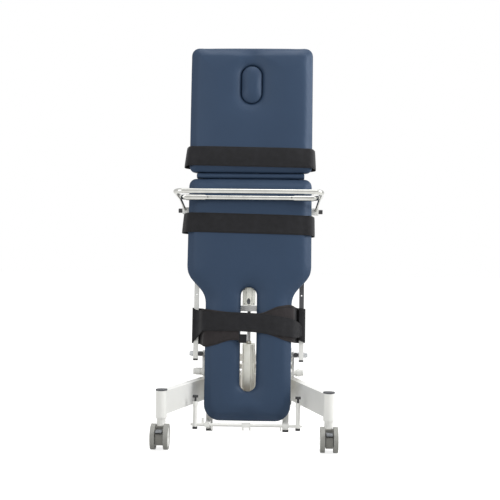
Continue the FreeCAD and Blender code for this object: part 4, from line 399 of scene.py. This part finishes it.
def blowUp(piece, held, look):
    start = [vertex.co.copy() for vertex in piece.data.vertices]
    group = piece.vertex_groups.new(name="board")
    group.add(held, 1.0, "REPLACE")
    cloth = piece.modifiers.new("Cloth", "CLOTH")
    for key, value in coverCloth["settings"].items():
        setattr(cloth.settings, key, value)
    cloth.settings.effector_weights.gravity = 0
    cloth.collision_settings.use_collision = False
    cloth.point_cache.frame_start, cloth.point_cache.frame_end = 1, coverCloth["frames"]
    for step in range(1, coverCloth["frames"] + 1):
        bpy.context.scene.frame_set(step)
    moved = evaluatedMesh(piece)
    piece.modifiers.clear()
    ways = []
    for after, before in zip(moved.vertices, start):
        way = after.co - before
        rise = way.dot(outward)
        sideways = (way - outward * rise) * coverCloth["sideways"]
        ways.append(sideways + outward * max(-look["cap"], min(look["cap"], rise)))
    for turn in range(look["settle"]):  # foam under the cover evens out its small wrinkles
        totals, counts = [way.copy() for way in ways], [1] * len(ways)
        for edge in piece.data.edges:
            a, b = edge.vertices
            totals[a] += ways[b]
            totals[b] += ways[a]
            counts[a] += 1
            counts[b] += 1
        ways = [total / number for total, number in zip(totals, counts)]
    rises = [way.dot(outward) * 1000 for way in ways]
    print("stage:", piece.name, "swell from", round(min(rises), 1), "to", round(max(rises), 1), "mm")
    for vertex, way, before in zip(piece.data.vertices, ways, start):
        vertex.co = before + way
    bpy.data.meshes.remove(moved)
    bpy.context.scene.frame_set(1)


# The face falls away towards every wall of the block, so the pad has a crown and soft shoulders
def crownAndSmooth(piece, held, look):
    shape = bmesh.new()
    shape.from_mesh(piece.data)
    heldSet = set(held)
    free = [vertex for vertex in shape.verts if vertex.index not in heldSet]
    for vertex in free:
        vertex.co -= vertex.normal * look.get("tuck", 0)
    middle = (look["backW"] + look["frontW"]) / 2
    walls = [offTable(vertex.co) for vertex in shape.verts]
    walls = [(x, u) for x, u, w in walls if abs(w - middle) < look["voxel"] * oneRow]
    nearWall = KDTree(len(walls))
    for index, (x, u) in enumerate(walls):
        nearWall.insert((x, u, 0), index)
    nearWall.balance()
    for vertex in free:
        x, u, w = offTable(vertex.co)
        inside = nearWall.find((x, u, 0))[2]
        fall = max(0, 1 - inside / look["crownReach"]) ** 2 * fade(w, middle, look["frontW"] - middle)
        vertex.co -= outward * (look["crownDrop"] * fall)
    for turn in range(look["smooth"]):
        bmesh.ops.smooth_vert(shape, verts=free, factor=0.5, use_axis_x=True, use_axis_y=True, use_axis_z=True)
    shape.to_mesh(piece.data)
    shape.free()


# Rounding draws the form in a little, so its outline is stretched back to the block's own and its spread
def stretchBack(mesh, block, spread):
    spots = [offTable(vertex.co) for vertex in mesh.vertices]
    corners = [offTable(vertex.co) for vertex in block.vertices]
    spans = []
    for axis in (0, 1):
        low, high = min(spot[axis] for spot in spots), max(spot[axis] for spot in spots)
        wantLow = min(spot[axis] for spot in corners) - spread[axis][0]
        wantHigh = max(spot[axis] for spot in corners) + spread[axis][1]
        spans.append((low, wantLow, (wantHigh - wantLow) / (high - low)))
    for vertex, (x, u, w) in zip(mesh.vertices, spots):
        x, u = (want + (value - low) * scale for value, (low, want, scale) in zip((x, u), spans))
        vertex.co = onTable(x, u, w)


def upholster(name, look):
    block = nodes[look["node"]].data
    piece = addObject(name, block.copy())
    piece.data.materials.clear()
    remesh = piece.modifiers.new("Remesh", "REMESH")
    remesh.mode, remesh.voxel_size = "VOXEL", look["voxel"]
    bakeModifiers(piece)
    boardW = look["backW"] + look["voxel"] * oneRow
    held = [i for i, vertex in enumerate(piece.data.vertices) if offTable(vertex.co)[2] < boardW]
    blowUp(piece, held, look)
    crownAndSmooth(piece, held, look)
    detail = piece.modifiers.new("Detail", "SUBSURF")
    detail.levels = detail.render_levels = 1
    bakeModifiers(piece)
    mesh = piece.data
    stretchBack(mesh, block, look["spread"])
    mesh.materials.clear()
    mesh.materials.append(vinyl)
    for face in mesh.polygons:
        face.use_smooth = True
        face.material_index = 0
    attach(piece, look["body"])
    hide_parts(look["node"])
    print("stage:", name, len(mesh.vertices), "points")
    return piece


pads = {name: upholster(name, look) for name, look in padLooks.items()}


def surfaceOf(piece):
    shape = bmesh.new()
    shape.from_mesh(piece.data)
    tree = BVHTree.FromBMesh(shape)
    shape.free()
    return tree


padSurface = {"table": surfaceOf(pads["mainPad"]), "head": surfaceOf(pads["headPad"])}
aboveAll = 0.3  # w of a place in front of every pad


def padHeight(body, x, u, fallback):
    hit = padSurface[body].ray_cast(onTable(x, u, aboveAll), -outward)[0]
    return offTable(hit)[2] if hit else fallback


# A closed line through corner points, each corner rounded by a curve, resampled evenly
def roundedLoop(points, radius, step):
    cornerSteps = 6
    count = len(points)
    path = []
    for i, here in enumerate(points):
        here, before, after = Vector(here), Vector(points[i - 1]), Vector(points[(i + 1) % count])
        cut = min(radius, (here - before).length * 0.45, (after - here).length * 0.45)  # leaves room for the next
        a, b = here + (before - here).normalized() * cut, here + (after - here).normalized() * cut
        for k in range(cornerSteps + 1):
            t = k / cornerSteps
            path.append(a * (1 - t) ** 2 + here * 2 * t * (1 - t) + b * t * t)
    path.append(path[0])
    out, spare = [path[0]], 0.0
    for a, b in zip(path, path[1:]):
        length = (b - a).length
        at = step - spare
        while at <= length:
            out.append(a.lerp(b, at / length))
            at += step
        spare = length - (at - step)
    if (out[-1] - out[0]).length < step * 0.5:
        out.pop()
    return out


def gridFaces(rows, across, closed):
    return [(i * across + j, (i + 1) % rows * across + j, (i + 1) % rows * across + j + 1, i * across + j + 1)
            for i in range(rows if closed else rows - 1) for j in range(across - 1)]


# Webbing band: rows of points across its width along a path, given its thickness and soft edges.
# The UV map "flat" unrolls it, and "hem" holds the distance from its nearer edge
bandEdge = {"radius": 0.35, "steps": 2, "sharperThan": 50}  # radius as a part of the thickness, angle in degrees


def bandPiece(name, rows, thickness, body, finishes, closed, change=0):
    count, across = len(rows), len(rows[0])
    points = [point for row in rows for point in row]
    piece = makeMesh(name, points, gridFaces(count, across, closed), body, finishes[0])
    mesh = piece.data
    for other in finishes[1:]:
        mesh.materials.append(other)
    flat, hem = mesh.uv_layers.new(name="flat"), mesh.uv_layers.new(name="hem")
    along = [0.0]
    for i in range(1, count + 1):
        along.append(along[-1] + (rows[i % count][across // 2] - rows[i - 1][across // 2]).length)
    wide = [0.0]
    for j in range(1, across):
        wide.append(wide[-1] + (rows[0][j] - rows[0][j - 1]).length)
    for face in mesh.polygons:
        first = face.vertices[0] // across
        face.material_index = 1 if len(finishes) > 1 and first >= change else 0
        for corner in face.loop_indices:
            row, lane = divmod(mesh.loops[corner].vertex_index, across)
            if closed and row == 0 and first == count - 1:
                row = count
            flat.data[corner].uv = (along[row], wide[lane])
            hem.data[corner].uv = (min(lane, across - 1 - lane) / (across - 1) * wide[-1], 0)
    thick = piece.modifiers.new("Thickness", "SOLIDIFY")
    thick.thickness, thick.offset = thickness, 0.0
    soft = piece.modifiers.new("Edge", "BEVEL")
    soft.width, soft.segments = thickness * bandEdge["radius"], bandEdge["steps"]
    soft.limit_method, soft.angle_limit = "ANGLE", math.radians(bandEdge["sharperThan"])
    bakeModifiers(piece)
    for face in piece.data.polygons:
        face.use_smooth = True
    return piece


# Chest and waist belts: tight round the front and sides of the pad, closed behind the frame.
# The path's corners are x and w; each belt's lower edge stands out further at the sides than its upper
beltPath = {"face": (0.318, 0.1165), "shoulder": (0.3335, 0.101), "sideW": (0.052, 0.019), "backInset": 0.042,
            "corner": 0.016, "step": 0.009, "lanes": 9, "curl": 0.0008, "flareX": (0.285, 0.033),
            "flareW": (-0.02, 0.03), "faceX": 0.325, "faceW": 0.1, "faceFade": 0.03}
beltLooks = {
    "chestBelt": {"node": "chest_strap", "body": "head", "u": 1.398, "lean": -0.015, "width": 0.105,
                  "thickness": 0.0032, "clearance": 0.0008, "sideX": 0.3465, "leftOut": 0.002, "flareLeft": 0.0135,
                  "flareRight": 0.0055, "backW": -0.0245},
    "waistBelt": {"node": "waist_strap", "body": "table", "u": 1.037, "lean": -0.019, "width": 0.105,
                  "thickness": 0.0032, "clearance": 0.0008, "sideX": 0.3465, "leftOut": 0.0115, "flareLeft": 0.0095,
                  "flareRight": 0.002, "backW": -0.0245}}


def bodyBelt(name, look):
    half, thick = look["width"] / 2, look["thickness"]
    right, left, back = look["sideX"], look["sideX"] + look["leftOut"], look["backW"]
    (faceX, faceW), (shoulderX, shoulderW), (frontW, rearW) = (beltPath[k] for k in ("face", "shoulder", "sideW"))
    backX = right - beltPath["backInset"]
    corners = [(-faceX, faceW), (-shoulderX, shoulderW), (-left, frontW), (-left, rearW), (-backX, back),
               (backX, back), (right, rearW), (right, frontW), (shoulderX, shoulderW), (faceX, faceW)]
    path = roundedLoop(corners, beltPath["corner"], beltPath["step"])
    rows = []
    for i, (x, pathW) in enumerate(path):
        way = (path[(i + 1) % len(path)] - path[i - 1]).normalized()
        normal = Vector((way.y, -way.x))
        side = 1 if x > 0 else -1
        flare = look["flareLeft"] if x < 0 else look["flareRight"]
        flare *= fade(abs(x), *beltPath["flareX"]) * fade(pathW, *beltPath["flareW"])
        row = []
        for j in range(beltPath["lanes"]):
            t = 2 * j / (beltPath["lanes"] - 1) - 1
            u, w = look["u"] + look["lean"] * x + t * half, pathW
            if w > beltPath["faceW"] and abs(x) < beltPath["faceX"]:
                onFace = fade(-abs(x), -beltPath["faceX"], beltPath["faceFade"])
                lying = max(w, padHeight(look["body"], x, u, w) + look["clearance"] + thick / 2)
                w = lying * onFace + w * (1 - onFace)
            curl = -beltPath["curl"] * abs(t) ** 6
            row.append(onTable(x + side * flare * (1 - t) / 2 + normal.x * curl, u, w + normal.y * curl))
        rows.append(row)
    piece = bandPiece(name, rows, thick, look["body"], [webbing], True)
    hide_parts(look["node"])


for name, look in beltLooks.items():
    bodyBelt(name, look)
print("stage: belts")

# Knee strap: a wide band that pinches in over the legs and opens again round each side rail.
# Each station is x, w and the band's lower and upper edge in u. Before station "change" its inside shows,
# and it lies "under" over the pad's face, after it "over"
kneeForm = {"step": 0.006, "lanes": 11, "thickness": 0.003, "onFace": 0.222, "crownX": 0.135, "faceW": 0.1145,
            "easeX": 0.262, "easeTurns": 14, "fullWidth": 0.19, "ripple": 0.0012, "rippleLanes": 0.95, "rippleX": 20}
kneeLooks = {
    "kneeBandMain": {"under": 0.0022, "over": 0.0068, "change": 6, "stations": [
        (-0.046, 0.1165, 0.419, 0.566), (-0.096, 0.1165, 0.4185, 0.567), (-0.165, 0.1165, 0.396, 0.574),
        (-0.212, 0.115, 0.384, 0.58), (-0.2335, 0.101, 0.3845, 0.583), (-0.242, 0.07, 0.388, 0.585),
        (-0.256, 0.03, 0.3935, 0.587), (-0.27, 0.015, 0.396, 0.588), (-0.294, 0.0145, 0.399, 0.59),
        (-0.301, 0.019, 0.4, 0.5905), (-0.302, 0.03, 0.401, 0.591), (-0.2985, 0.04, 0.406, 0.587),
        (-0.284, 0.044, 0.417, 0.58), (-0.265, 0.062, 0.44, 0.576), (-0.245, 0.102, 0.462, 0.573),
        (-0.225, 0.119, 0.4676, 0.571), (-0.16, 0.1215, 0.4675, 0.569), (-0.074, 0.1215, 0.4675, 0.5665),
        (0.035, 0.1215, 0.4625, 0.563), (0.084, 0.1215, 0.457, 0.559), (0.147, 0.1215, 0.448, 0.551),
        (0.2, 0.1205, 0.4425, 0.543), (0.23, 0.113, 0.4385, 0.537), (0.252, 0.09, 0.437, 0.527),
        (0.272, 0.062, 0.44, 0.512), (0.286, 0.052, 0.448, 0.494)]},
    "kneeBandRight": {"under": 0.0022, "over": 0.0022, "change": 6, "stations": [
        (0.03, 0.117, 0.463, 0.56), (0.082, 0.117, 0.459, 0.568), (0.1475, 0.1165, 0.44, 0.597),
        (0.185, 0.1165, 0.425, 0.605), (0.215, 0.113, 0.417, 0.61), (0.235, 0.098, 0.412, 0.606),
        (0.244, 0.068, 0.41, 0.601), (0.256, 0.03, 0.409, 0.597), (0.27, 0.015, 0.409, 0.595),
        (0.294, 0.0145, 0.41, 0.593), (0.301, 0.019, 0.4102, 0.592), (0.302, 0.03, 0.4102, 0.591),
        (0.2985, 0.04, 0.412, 0.592), (0.284, 0.044, 0.418, 0.594), (0.268, 0.045, 0.425, 0.5955)]}}


# A smooth line through the stations, each spot with its layer over the pad, and where the change falls
def kneeLine(look):
    stations = look["stations"]
    last = len(stations) - 1
    line, change = [], 0
    for k in range(last):
        a, b, c, d = (stations[min(max(k + shift, 0), last)] for shift in (-1, 0, 1, 2))
        steps = max(2, int(math.hypot(c[0] - b[0], c[1] - b[1]) / kneeForm["step"]))
        if k == look["change"]:
            change = len(line)
        layer = look["under"] if k < look["change"] else look["over"]
        for step in range(steps + (k == last - 1)):
            t = step / steps
            spot = [0.5 * (2 * q + (r - p) * t + (2 * p - 5 * q + 4 * r - s) * t * t
                           + (3 * q - p - 3 * r + s) * t ** 3) for p, q, r, s in zip(a, b, c, d)]
            line.append(spot + [layer])
    return line, change


def kneeBand(name, look):
    line, change = kneeLine(look)
    lanes, last = range(kneeForm["lanes"]), kneeForm["lanes"] - 1
    grid = []
    for x, w, low, high, layer in line:
        if abs(x) < kneeForm["onFace"]:  # taut over the slot, so it starts to fall only beyond the crown of each leg
            overX = math.copysign(max(abs(x), kneeForm["crownX"]), x)
            grid.append([padHeight("table", overX, low + (high - low) * j / last, kneeForm["faceW"]) + layer
                         for j in lanes])
        else:
            grid.append([w] * kneeForm["lanes"])
    floors = [list(lane) for lane in grid]
    for turn in range(kneeForm["easeTurns"]):  # the band spans the pad's edge in one easy curve
        for i in range(1, len(grid) - 1):
            if abs(line[i][0]) < kneeForm["easeX"]:
                for j in lanes:
                    eased = (grid[i - 1][j] + 2 * grid[i][j] + grid[i + 1][j]) / 4
                    grid[i][j] = max(eased, floors[i][j]) if abs(line[i][0]) < kneeForm["onFace"] else eased
    rows = []
    for (x, w, low, high, layer), lane in zip(line, grid):
        ripple = kneeForm["ripple"] * (1 - min(1, (high - low) / kneeForm["fullWidth"]))  # where it is pinched
        rows.append([onTable(x, low + (high - low) * j / last,
                             lane[j] + ripple * math.sin(j * kneeForm["rippleLanes"] + x * kneeForm["rippleX"]))
                     for j in lanes])
    return bandPiece(name, rows, kneeForm["thickness"], "table", (webbingSide, webbing), False, change)


kneeBands = [kneeBand(name, look) for name, look in kneeLooks.items()]
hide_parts("knee_strap")

# The free end of the knee strap: a short doubled tab sewn over its edge
tabLook = {"low": 0.406, "high": 0.452, "left": -0.0475, "right": -0.005, "w": 0.1190, "thickness": 0.005,
           "rows": 8, "lanes": 6}
tabRows = []
for step in range(tabLook["rows"] + 1):
    x = tabLook["left"] + (tabLook["right"] - tabLook["left"]) * step / tabLook["rows"]
    spots = [tabLook["low"] + (tabLook["high"] - tabLook["low"]) * j / tabLook["lanes"]
             for j in range(tabLook["lanes"] + 1)]
    tabRows.append([onTable(x, u, tabLook["w"]) for u in spots])
bandPiece("kneeTab", tabRows, tabLook["thickness"], "table", [webbing], False)
print("stage: knee strap")


# A bar of one cross-section between two points, closed at both ends
def barPart(profile, start, end, sideWay):
    way = (end - start).normalized()
    across = (sideWay - way * sideWay.dot(way)).normalized()
    up = across.cross(way)
    count = len(profile)
    points = [place + across * a + up * b for place in (start, end) for a, b in profile]
    faces = [(i, (i + 1) % count, count + (i + 1) % count, count + i) for i in range(count)]
    faces += [tuple(range(count - 1, -1, -1)), tuple(range(count, 2 * count))]
    return points, faces


def joinParts(name, parts, body, material):
    points, faces = [], []
    for partPoints, partFaces in parts:
        shift = len(points)
        points += partPoints
        faces += [tuple(i + shift for i in face) for face in partFaces]
    piece = makeMesh(name, points, faces, body, material)
    return piece


def roundProfile(wide, high, steps=6):
    turns = [math.pi * k / steps for k in range(1, steps)]
    arch = [(-math.cos(turn) * wide / 2, math.sin(turn) * high) for turn in turns]
    return [(-wide / 2, 0)] + arch + [(wide / 2, 0)]


# Tilt actuator: fine raised ribs drawn along the extruded housing, front and back
ribLook = {"places": (-0.0285, 0.0135, 0.0220, 0.0300), "wide": 0.0042, "high": 0.0011, "from": 0.026, "to": 0.347,
           "half": 0.0278, "motorFoot": (0, -0.2079, 0.1286), "motorWay": (0, -0.0436, 0.99905)}


def makeRibs():
    acrossX = Vector((1, 0, 0))
    foot, way = Vector(ribLook["motorFoot"]), Vector(ribLook["motorWay"]).normalized()
    profile = roundProfile(ribLook["wide"], ribLook["high"])
    ribs = []
    for side in (1, -1):
        for x in ribLook["places"]:
            onFace = foot + acrossX.cross(way) * (side * ribLook["half"]) + acrossX * x
            ribs.append(barPart(profile, onFace + way * ribLook["from"], onFace + way * ribLook["to"], acrossX * side))
    joinParts("actuatorRibs", ribs, "tilt_motor", extrudedAluminium)


# Spine cover: a folded channel screwed over the spine's lower end, seen through the top of the slot,
# with a dark oval grommet where the actuator's wiring would pass
coverLook = {"half": 0.0335, "low": 0.607, "high": 0.712, "w": 0.0203, "sheet": 0.002, "lip": 0.0105, "fold": 0.016,
             "bend": 0.002, "rise": 0.004, "screwX": (-0.025, 0.025), "screwU": (0.615, 0.69), "screwRadius": 0.0035,
             "screwHigh": 0.002}
grommetLook = {"x": -0.002, "u": 0.628, "halfX": 0.0095, "halfU": 0.0165, "w": 0.0263, "steps": 24,
               "rings": ((1.0, 0), (1.0, 0.002), (0.72, 0.002), (0.6, 0.0004))}


def makeSpineCover():
    half, fold, lip = coverLook["half"], coverLook["fold"], coverLook["lip"]
    top, rise = fold - coverLook["bend"], coverLook["rise"]
    line = [(-half, lip), (-half, 0), (-fold, 0), (-top, rise), (top, rise), (fold, 0), (half, 0), (half, lip)]
    points = [onTable(x, u, coverLook["w"] + coverLook["sheet"] / 2 + high)
              for u in (coverLook["low"], coverLook["high"]) for x, high in line]
    count = len(line)
    faces = [(i, i + 1, count + i + 1, count + i) for i in range(count - 1)]
    piece = makeMesh("spineCover", points, faces, "table", extrudedAluminium, False)
    thick = piece.modifiers.new("Thickness", "SOLIDIFY")
    thick.thickness, thick.offset = coverLook["sheet"], 0.0
    bakeModifiers(piece)


def makeGrommet():
    steps, rings = grommetLook["steps"], grommetLook["rings"]
    points = []
    for k in range(steps):
        turn = 2 * math.pi * k / steps
        for grow, lift in rings:
            points.append(onTable(grommetLook["x"] + math.cos(turn) * grommetLook["halfX"] * grow,
                                  grommetLook["u"] + math.sin(turn) * grommetLook["halfU"] * grow,
                                  grommetLook["w"] + lift))
    count = len(rings)
    faces = gridFaces(steps, count, True)
    faces += [tuple(k * count + count - 1 for k in range(steps)), tuple(k * count for k in reversed(range(steps)))]
    joinParts("coverGrommet", [(points, faces)], "table", greyNylon)


# Pan-head screws: a low dome with a driver recess, as rings of radius and height
screwForm = {"sides": 16, "rings": ((1.0, 0.0), (0.98, 0.45), (0.8, 0.85), (0.42, 1.0), (0.36, 0.55))}


def screwHead(place, way, radius, high):
    sides, rings = screwForm["sides"], screwForm["rings"]
    side = way.cross(Vector((0, 0, 1)) if abs(way.z) < 0.9 else Vector((1, 0, 0))).normalized()
    across = way.cross(side)
    turns = [2 * math.pi * k / sides for k in range(sides)]
    points = [place + (side * math.cos(turn) + across * math.sin(turn)) * (radius * grow) + way * (high * lift)
              for grow, lift in rings for turn in turns]
    faces = [(r * sides + k, r * sides + (k + 1) % sides, (r + 1) * sides + (k + 1) % sides, (r + 1) * sides + k)
             for r in range(len(rings) - 1) for k in range(sides)]
    faces += [tuple(range((len(rings) - 1) * sides, len(rings) * sides)), tuple(reversed(range(sides)))]
    return points, faces


# Screws behind the cross members, on the spine's cover, and one on each sleeve of the handrail
screwLook = {"across": (-0.125, 0.125), "up": (0.100, 0.590, 0.850, 1.180), "w": 0.0201, "radius": 0.0065,
             "high": 0.0035}
sleeveLook = {"across": (-0.222, 0.222), "u": 1.173, "w": 0.1558, "radius": 0.0042, "high": 0.0022}


def makeScrews():
    heads = [screwHead(onTable(x, u, screwLook["w"]), -outward, screwLook["radius"], screwLook["high"])
             for x in screwLook["across"] for u in screwLook["up"]]
    heads += [screwHead(onTable(x, u, coverLook["w"] + coverLook["sheet"]), outward, coverLook["screwRadius"],
                        coverLook["screwHigh"]) for x in coverLook["screwX"] for u in coverLook["screwU"]]
    joinParts("tableScrews", heads, "table", zincSteel)
    heads = [screwHead(onTable(x, sleeveLook["u"], sleeveLook["w"]), outward, sleeveLook["radius"], sleeveLook["high"])
             for x in sleeveLook["across"]]
    joinParts("sleeveScrews", heads, "grab_rail", blackPlastic)


makeRibs()
makeSpineCover()
makeGrommet()
makeScrews()
print("stage: actuator and spine details")

# Cover turned over the boards' backs: a hem stapled along every edge. It is let into the board, so the
# handrail's clamps slide past it, and has no staples where they travel. The profile is reach and depth
hemLook = {"shortest": 0.14, "step": 0.02, "proud": 0.0002, "clampReach": 0.25, "clampTravel": (1.08, 1.27),
           "profile": ((0.0004, -0.0002), (0.0008, 0.00015), (0.003, 0.0002), (0.019, 0.0002), (0.0205, 0.00015),
                       (0.021, -0.0002)),
           "staplePitch": 0.045, "stapleReach": 0.013, "stapleHalf": 0.005, "stapleWide": 0.0013,
           "stapleHigh": 0.0007}
flatness = {"facing": -0.99, "depth": 0.0005, "shortestEdge": 0.0004}


# The outlines of a board's back face as closed lines of (x, u), and how far out of the pad it lies
def backOutlines(source):
    mesh, place = nodes[source].data, nodes[source].matrix_world
    back = [face for face in mesh.polygons if face.normal.dot(outward) < flatness["facing"]]
    level = min(offTable(place @ face.center)[2] for face in back)
    back = [face for face in back if offTable(place @ face.center)[2] < level + flatness["depth"]]
    uses = {}
    for face in back:
        for edge in face.edge_keys:
            uses[edge] = uses.get(edge, 0) + 1
    follow = {}
    for face in back:
        ring = list(face.vertices)
        for a, b in zip(ring, ring[1:] + ring[:1]):
            if uses[(min(a, b), max(a, b))] == 1:
                follow[a] = b
    lines = []
    while follow:
        first = next(iter(follow))
        loop, here = [first], follow.pop(first)
        while here != first and here in follow:
            loop.append(here)
            here = follow.pop(here)
        line = [offTable(place @ mesh.vertices[i].co)[:2] for i in loop]
        lines.append([spot for spot, after in zip(line, line[1:] + line[:1])
                      if math.dist(spot, after) > flatness["shortestEdge"]])
    return level, lines


# Evenly dense points of an outline, each with the way that points into the board
def alongOutline(line):
    dense = []
    for a, b in zip(line, line[1:] + line[:1]):
        steps = max(1, int(math.dist(a, b) / hemLook["step"]))
        dense += [(a[0] + (b[0] - a[0]) * k / steps, a[1] + (b[1] - a[1]) * k / steps) for k in range(steps)]
    inwards = []
    for k in range(len(dense)):
        before, after = dense[k - 1], dense[(k + 1) % len(dense)]
        length = math.dist(before, after) or 1
        inwards.append(((after[1] - before[1]) / length, (before[0] - after[0]) / length))
    return dense, inwards


def stapleRow(dense, inwards, level):
    profile = roundProfile(hemLook["stapleWide"], hemLook["stapleHigh"], 4)
    staples, sinceLast = [], 0
    for k, (x, u) in enumerate(dense):
        before, after = dense[k - 1], dense[(k + 1) % len(dense)]
        sinceLast += math.dist((x, u), before)
        low, high = hemLook["clampTravel"]
        inTravel = abs(x) > hemLook["clampReach"] and low < u < high
        if sinceLast > hemLook["staplePitch"] and not inTravel:
            sinceLast = 0
            middle = onTable(x + inwards[k][0] * hemLook["stapleReach"], u + inwards[k][1] * hemLook["stapleReach"],
                             level - hemLook["proud"])
            along = (onTable(*after, 0) - onTable(*before, 0)).normalized()
            half = along * hemLook["stapleHalf"]
            staples.append(barPart(profile, middle - half, middle + half, along.cross(-outward)))
    return staples


def boardHem(name, source, body):
    profile = hemLook["profile"]
    across = len(profile)
    level, lines = backOutlines(source)
    parts, staples = [], []
    for line in lines:
        if sum(math.dist(a, b) for a, b in zip(line, line[1:] + line[:1])) < hemLook["shortest"]:
            continue
        dense, inwards = alongOutline(line)
        count = len(dense)
        points = [onTable(x + inX * reach, u + inU * reach, level - lift)
                  for (x, u), (inX, inU) in zip(dense, inwards) for reach, lift in profile]
        faces = [(k * across + j, k * across + j + 1, (k + 1) % count * across + j + 1, (k + 1) % count * across + j)
                 for k in range(count) for j in range(across - 1)]
        parts.append((points, faces))
        staples += stapleRow(dense, inwards, level)
    hem = joinParts(name, parts, body, vinyl)
    joinParts(name + "Staples", staples, body, zincSteel)
    print("stage:", name, len(parts), "edges,", len(staples), "staples")


boardHem("mainHem", "main_board", "table")
boardHem("headHem", "head_board", "head")

# Studio: pale floor and soft daylight-white lamps, each with its place, size and power
studio = {"floorHalf": 40, "floorPaint": "#BEBEBC", "floorGlow": 0.80, "worldLight": 0.66,
          "lampsAimAt": (0, -0.2, 1.0), "lamps": {
              "key": ((3.5, -1.1, 2.7), 2.2, 138), "fill": ((-2.6, -3.8, 2.6), 2.6, 58),
              "top": ((0.4, -0.4, 4.2), 2.4, 42)}}


# 1 where the camera looks straight at it, or sees it mirrored or through glass, else 0
def seenByCamera(tree):
    path = addNode(tree, "LightPath")
    seen = path.outputs["Is Camera Ray"]
    for kind in ("Is Glossy Ray", "Is Transmission Ray"):
        seen = addNode(tree, "Math", {"operation": "MAXIMUM"}, {}, {0: seen, 1: path.outputs[kind]}).outputs["Value"]
    return seen


def makeFloor():
    mesh = bpy.data.meshes.new("floor")
    half = studio["floorHalf"]
    mesh.from_pydata([(-half, -half, 0), (half, -half, 0), (half, half, 0), (-half, half, 0)], [], [(0, 1, 2, 3)])
    floor = addObject("floor", mesh)
    material = bpy.data.materials.new("MattWhiteFloorPaint")
    material.use_nodes = True
    tree = material.node_tree
    tree.nodes.clear()
    lift = addNode(tree, "Math", {"operation": "MULTIPLY"}, {1: studio["floorGlow"]}, {0: seenByCamera(tree)})
    paint = addNode(tree, "BsdfDiffuse", {}, {"Color": toLinear(studio["floorPaint"])})
    glow = addNode(tree, "Emission", {}, {"Color": (1, 1, 1, 1)}, {"Strength": lift.outputs["Value"]})
    both = addNode(tree, "AddShader", {}, {}, {0: paint.outputs["BSDF"], 1: glow.outputs["Emission"]})
    addNode(tree, "OutputMaterial", {}, {}, {"Surface": both.outputs["Shader"]})
    mesh.materials.append(material)


def makeWorld():
    world = bpy.data.worlds.new("studioAir")
    world.use_nodes = True
    bpy.context.scene.world = world
    tree = world.node_tree
    tree.nodes.clear()
    strength = addNode(tree, "MapRange", {}, {"To Min": studio["worldLight"], "To Max": 1.0},
                       {"Value": seenByCamera(tree)})
    air = addNode(tree, "Background", {}, {"Color": (1, 1, 1, 1)}, {"Strength": strength.outputs["Result"]})
    addNode(tree, "OutputWorld", {}, {}, {"Surface": air.outputs["Background"]})


def makeLamps():
    for name, (place, size, power) in studio["lamps"].items():
        light = bpy.data.lights.new(name, "AREA")
        light.size, light.energy = size, power
        lamp = addObject(name, light)
        lamp.location = place
        lamp.rotation_mode = "QUATERNION"
        lamp.rotation_quaternion = (Vector(studio["lampsAimAt"]) - Vector(place)).to_track_quat("-Z", "Y")


makeFloor()
makeWorld()
makeLamps()

# Level camera a little to the right of the middle, with its small turns in degrees and its lens in millimetres
photoView = {"place": (0.1735, -4.9325, 0.9456), "yaw": 2.103, "pitch": 0.477, "roll": 0.691, "lens": 62.56,
             "sensor": 36}


def makeCamera():
    camera = bpy.data.cameras.new("photoCamera")
    camera.lens, camera.sensor_width = photoView["lens"], photoView["sensor"]
    camera.clip_start, camera.clip_end = 0.05, 200
    holder = addObject("photoCamera", camera)
    yaw, pitch, roll = (math.radians(photoView[k]) for k in ("yaw", "pitch", "roll"))
    ahead = Vector((-math.sin(yaw) * math.cos(pitch), math.cos(yaw) * math.cos(pitch), math.sin(pitch)))
    side = Vector((math.cos(yaw), math.sin(yaw), 0))
    up = side.cross(ahead)
    turnedSide = side * math.cos(roll) + up * math.sin(roll)
    turnedUp = up * math.cos(roll) - side * math.sin(roll)
    x, y, z = photoView["place"]
    holder.matrix_world = Matrix((
        (turnedSide.x, turnedUp.x, -ahead.x, x), (turnedSide.y, turnedUp.y, -ahead.y, y),
        (turnedSide.z, turnedUp.z, -ahead.z, z), (0, 0, 0, 1)))
    bpy.context.scene.camera = holder


makeCamera()
bpy.context.scene.view_settings.view_transform = "Standard"
print("stage: studio and camera")
